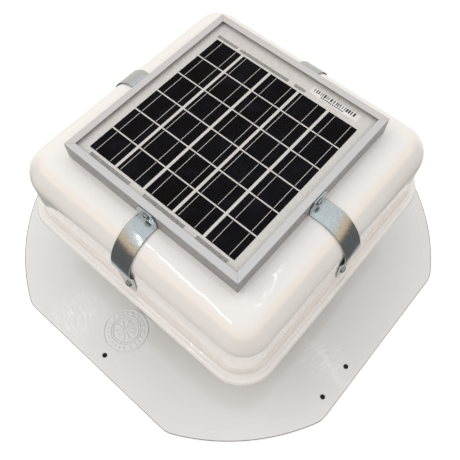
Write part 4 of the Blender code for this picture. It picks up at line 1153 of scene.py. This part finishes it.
class ATTICFAN_OT_stage(bpy.types.Operator):
    """Pale floor, soft studio light and the camera"""

    bl_idname = "atticfan.stage"
    bl_label = "Stage"

    def execute(self, context):
        settings = context.scene.attic_fan_stage
        context.scene.view_settings.view_transform = "Standard"
        self.floor()
        self.sky(settings.sky)
        key = self.lamp("key_light", (-1.3, -0.8, 1.9), (1.5, 1.5), settings.key, (1.0, 0.985, 0.96))
        back = self.lamp("back_light", (0.5, 1.9, 1.7), (2.4, 1.6), settings.key * 0.8, (0.94, 0.97, 1.0))
        key.visible_glossy = back.visible_glossy = False
        self.lamp("front_tube", (-0.52, -1.42, 2.0), (1.0, 0.012), 1.7, TUBE_WHITE, (0.5, -0.86, 0))
        self.lamp("ceiling_tube", (0.38, 0.5, 2.0), (1.0, 0.008), 0.16, TUBE_WHITE, (0.98, -0.16, 0))
        self.camera(settings)
        return {"FINISHED"}

    def floor(self):
        """A round pale floor: rings of radius share^2 * reach, dark in the shade below the plate."""
        radius = np.linspace(0.02, 1, 12) ** 2 * 14.0
        profile = np.column_stack([radius, np.full(len(radius), -0.003)])
        made = Finish("pale_floor", (0.93, 0.93, 0.93), 0.75)
        across = made.add("VectorMath", {0: made.place}, operation="ABSOLUTE").outputs["Vector"]
        sides = made.add("SeparateXYZ", {"Vector": across}).outputs
        reach = made.add("VectorMath", {0: made.place}, operation="LENGTH").outputs["Value"]
        past_arc = made.ranged(reach, FLASHING_HALF + 0.022, FLASHING_HALF + 0.028)
        past_flat = made.ranged(made.maths("MAXIMUM", sides["X"], sides["Y"]), FLASHING_HALF - 0.010,
                                FLASHING_HALF - 0.005)
        open_floor = made.maths("MAXIMUM", past_arc, past_flat)
        tint = made.mixed(made.noise(3.0), (0.93, 0.93, 0.93), (0.915, 0.915, 0.915))
        made.wire(Base_Color=made.mixed(open_floor, (0.02, 0.02, 0.02), tint), Emission_Color=(*WHITE, 1),
                  Emission_Strength=made.ranged(open_floor, 0.0, 1.0, 0.0, 0.3))
        floor = surface("floor", [lathe(profile, 64)], made.material, caps=(True, False), solid=False)
        floor.visible_glossy = False

    def sky(self, strength):
        """Light from all round: dark at the horizon but pale behind on the left, then warm, then white."""
        world = bpy.data.worlds.new("studio")
        bpy.context.scene.world = world
        world.use_nodes = True
        made = Nodes(world.node_tree, "Generated")
        height = made.add("SeparateXYZ", {"Vector": made.place}).outputs["Z"]
        ramp = made.add("ValToRGB", {"Fac": height})
        for position, colour in SKY_STOPS[1:-1]:
            ramp.color_ramp.elements.new(position)
        for element, (position, colour) in zip(ramp.color_ramp.elements, SKY_STOPS):
            element.position = position
            element.color = (*colour, 1)
        aside = made.add("VectorMath", {0: made.place, 1: (-0.64, 0.77, 0)}, operation="DOT_PRODUCT")
        pale_side = made.ranged(aside.outputs["Value"], 0.2, 0.6)
        pale = made.maths("MULTIPLY", pale_side, made.ranged(height, 0.35, 0.55, 1.0, 0.0))
        tint = made.mixed(pale, ramp.outputs["Color"], (0.90, 0.85, 0.78))
        seen = made.add("LightPath").outputs["Is Camera Ray"]
        background = world.node_tree.nodes["Background"].inputs
        made.fill(background["Color"], made.mixed(seen, tint, WHITE))
        made.fill(background["Strength"], strength)

    def lamp(self, name, place, size, power, colour, along=(1, 0, 0)):
        """An area lamp that faces the hood, with its long side as near to a direction as that allows."""
        light = bpy.data.lights.new(name, "AREA")
        light.shape = "RECTANGLE"
        light.size, light.size_y = size
        light.energy = power
        light.color = colour
        back = (Vector(place) - Vector((0, 0, 0.15))).normalized()
        side = Vector(along)
        side = (side - side.dot(back) * back).normalized()
        return self.placed(name, light, (side, back.cross(side), back), Vector(place))

    def camera(self, settings):
        """Back is (sin a cos e, -cos a cos e, sin e) at azimuth a and elevation e; roll turns the others."""
        azimuth, elevation, roll = settings.azimuth, settings.elevation, settings.roll
        back = Vector((math.sin(azimuth) * math.cos(elevation), -math.cos(azimuth) * math.cos(elevation),
                       math.sin(elevation)))
        level = Vector((math.cos(azimuth), math.sin(azimuth), 0))
        rise = back.cross(level)
        right = math.cos(roll) * level + math.sin(roll) * rise
        up = -math.sin(roll) * level + math.cos(roll) * rise
        lens = bpy.data.cameras.new("camera")
        lens.sensor_width = 36
        lens.lens = settings.lens
        place = Vector(settings.target) + settings.distance * back
        bpy.context.scene.camera = self.placed("camera", lens, (right, up, back), place)

    def placed(self, name, data, axes, place):
        made = bpy.data.objects.new(name, data)
        made.matrix_world = Matrix.Translation(place) @ Matrix(axes).transposed().to_4x4()
        bpy.context.scene.collection.objects.link(made)
        return made


OPERATORS = (
    ATTICFAN_OT_flashing, ATTICFAN_OT_hood, ATTICFAN_OT_legs, ATTICFAN_OT_straps, ATTICFAN_OT_fasteners,
    ATTICFAN_OT_panel_frame, ATTICFAN_OT_panel_cells, ATTICFAN_OT_screen, ATTICFAN_OT_wheel,
    ATTICFAN_OT_motor, ATTICFAN_OT_plain_parts, ATTICFAN_OT_stage,
)
GROUPS = {
    "attic_fan_sizes": AtticFanSizes,
    "attic_fan_colours": AtticFanColours,
    "attic_fan_stage": AtticFanStage,
}


class ATTICFAN_PT_panel(bpy.types.Panel):
    """The fan's pieces and settings in the sidebar"""

    bl_label = "Solar Attic Fan"
    bl_idname = "ATTICFAN_PT_panel"
    bl_space_type = "VIEW_3D"
    bl_region_type = "UI"
    bl_category = "Attic Fan"

    def draw(self, context):
        for made in OPERATORS:
            self.layout.operator(made.bl_idname)
        for key, group in GROUPS.items():
            box = self.layout.box()
            for field in group.__annotations__:
                box.prop(getattr(context.scene, key), field)


def register():
    for made in (*GROUPS.values(), *OPERATORS, ATTICFAN_PT_panel):
        bpy.utils.register_class(made)
    for key, group in GROUPS.items():
        setattr(bpy.types.Scene, key, PointerProperty(type=group))


def unregister():
    for key in GROUPS:
        delattr(bpy.types.Scene, key)
    for made in reversed((*GROUPS.values(), *OPERATORS, ATTICFAN_PT_panel)):
        bpy.utils.unregister_class(made)


def main():
    register()
    for made in OPERATORS:
        group, name = made.bl_idname.split(".")
        getattr(getattr(bpy.ops, group), name)()
    bpy.context.view_layer.update()


if __name__ == "__main__":
    main()
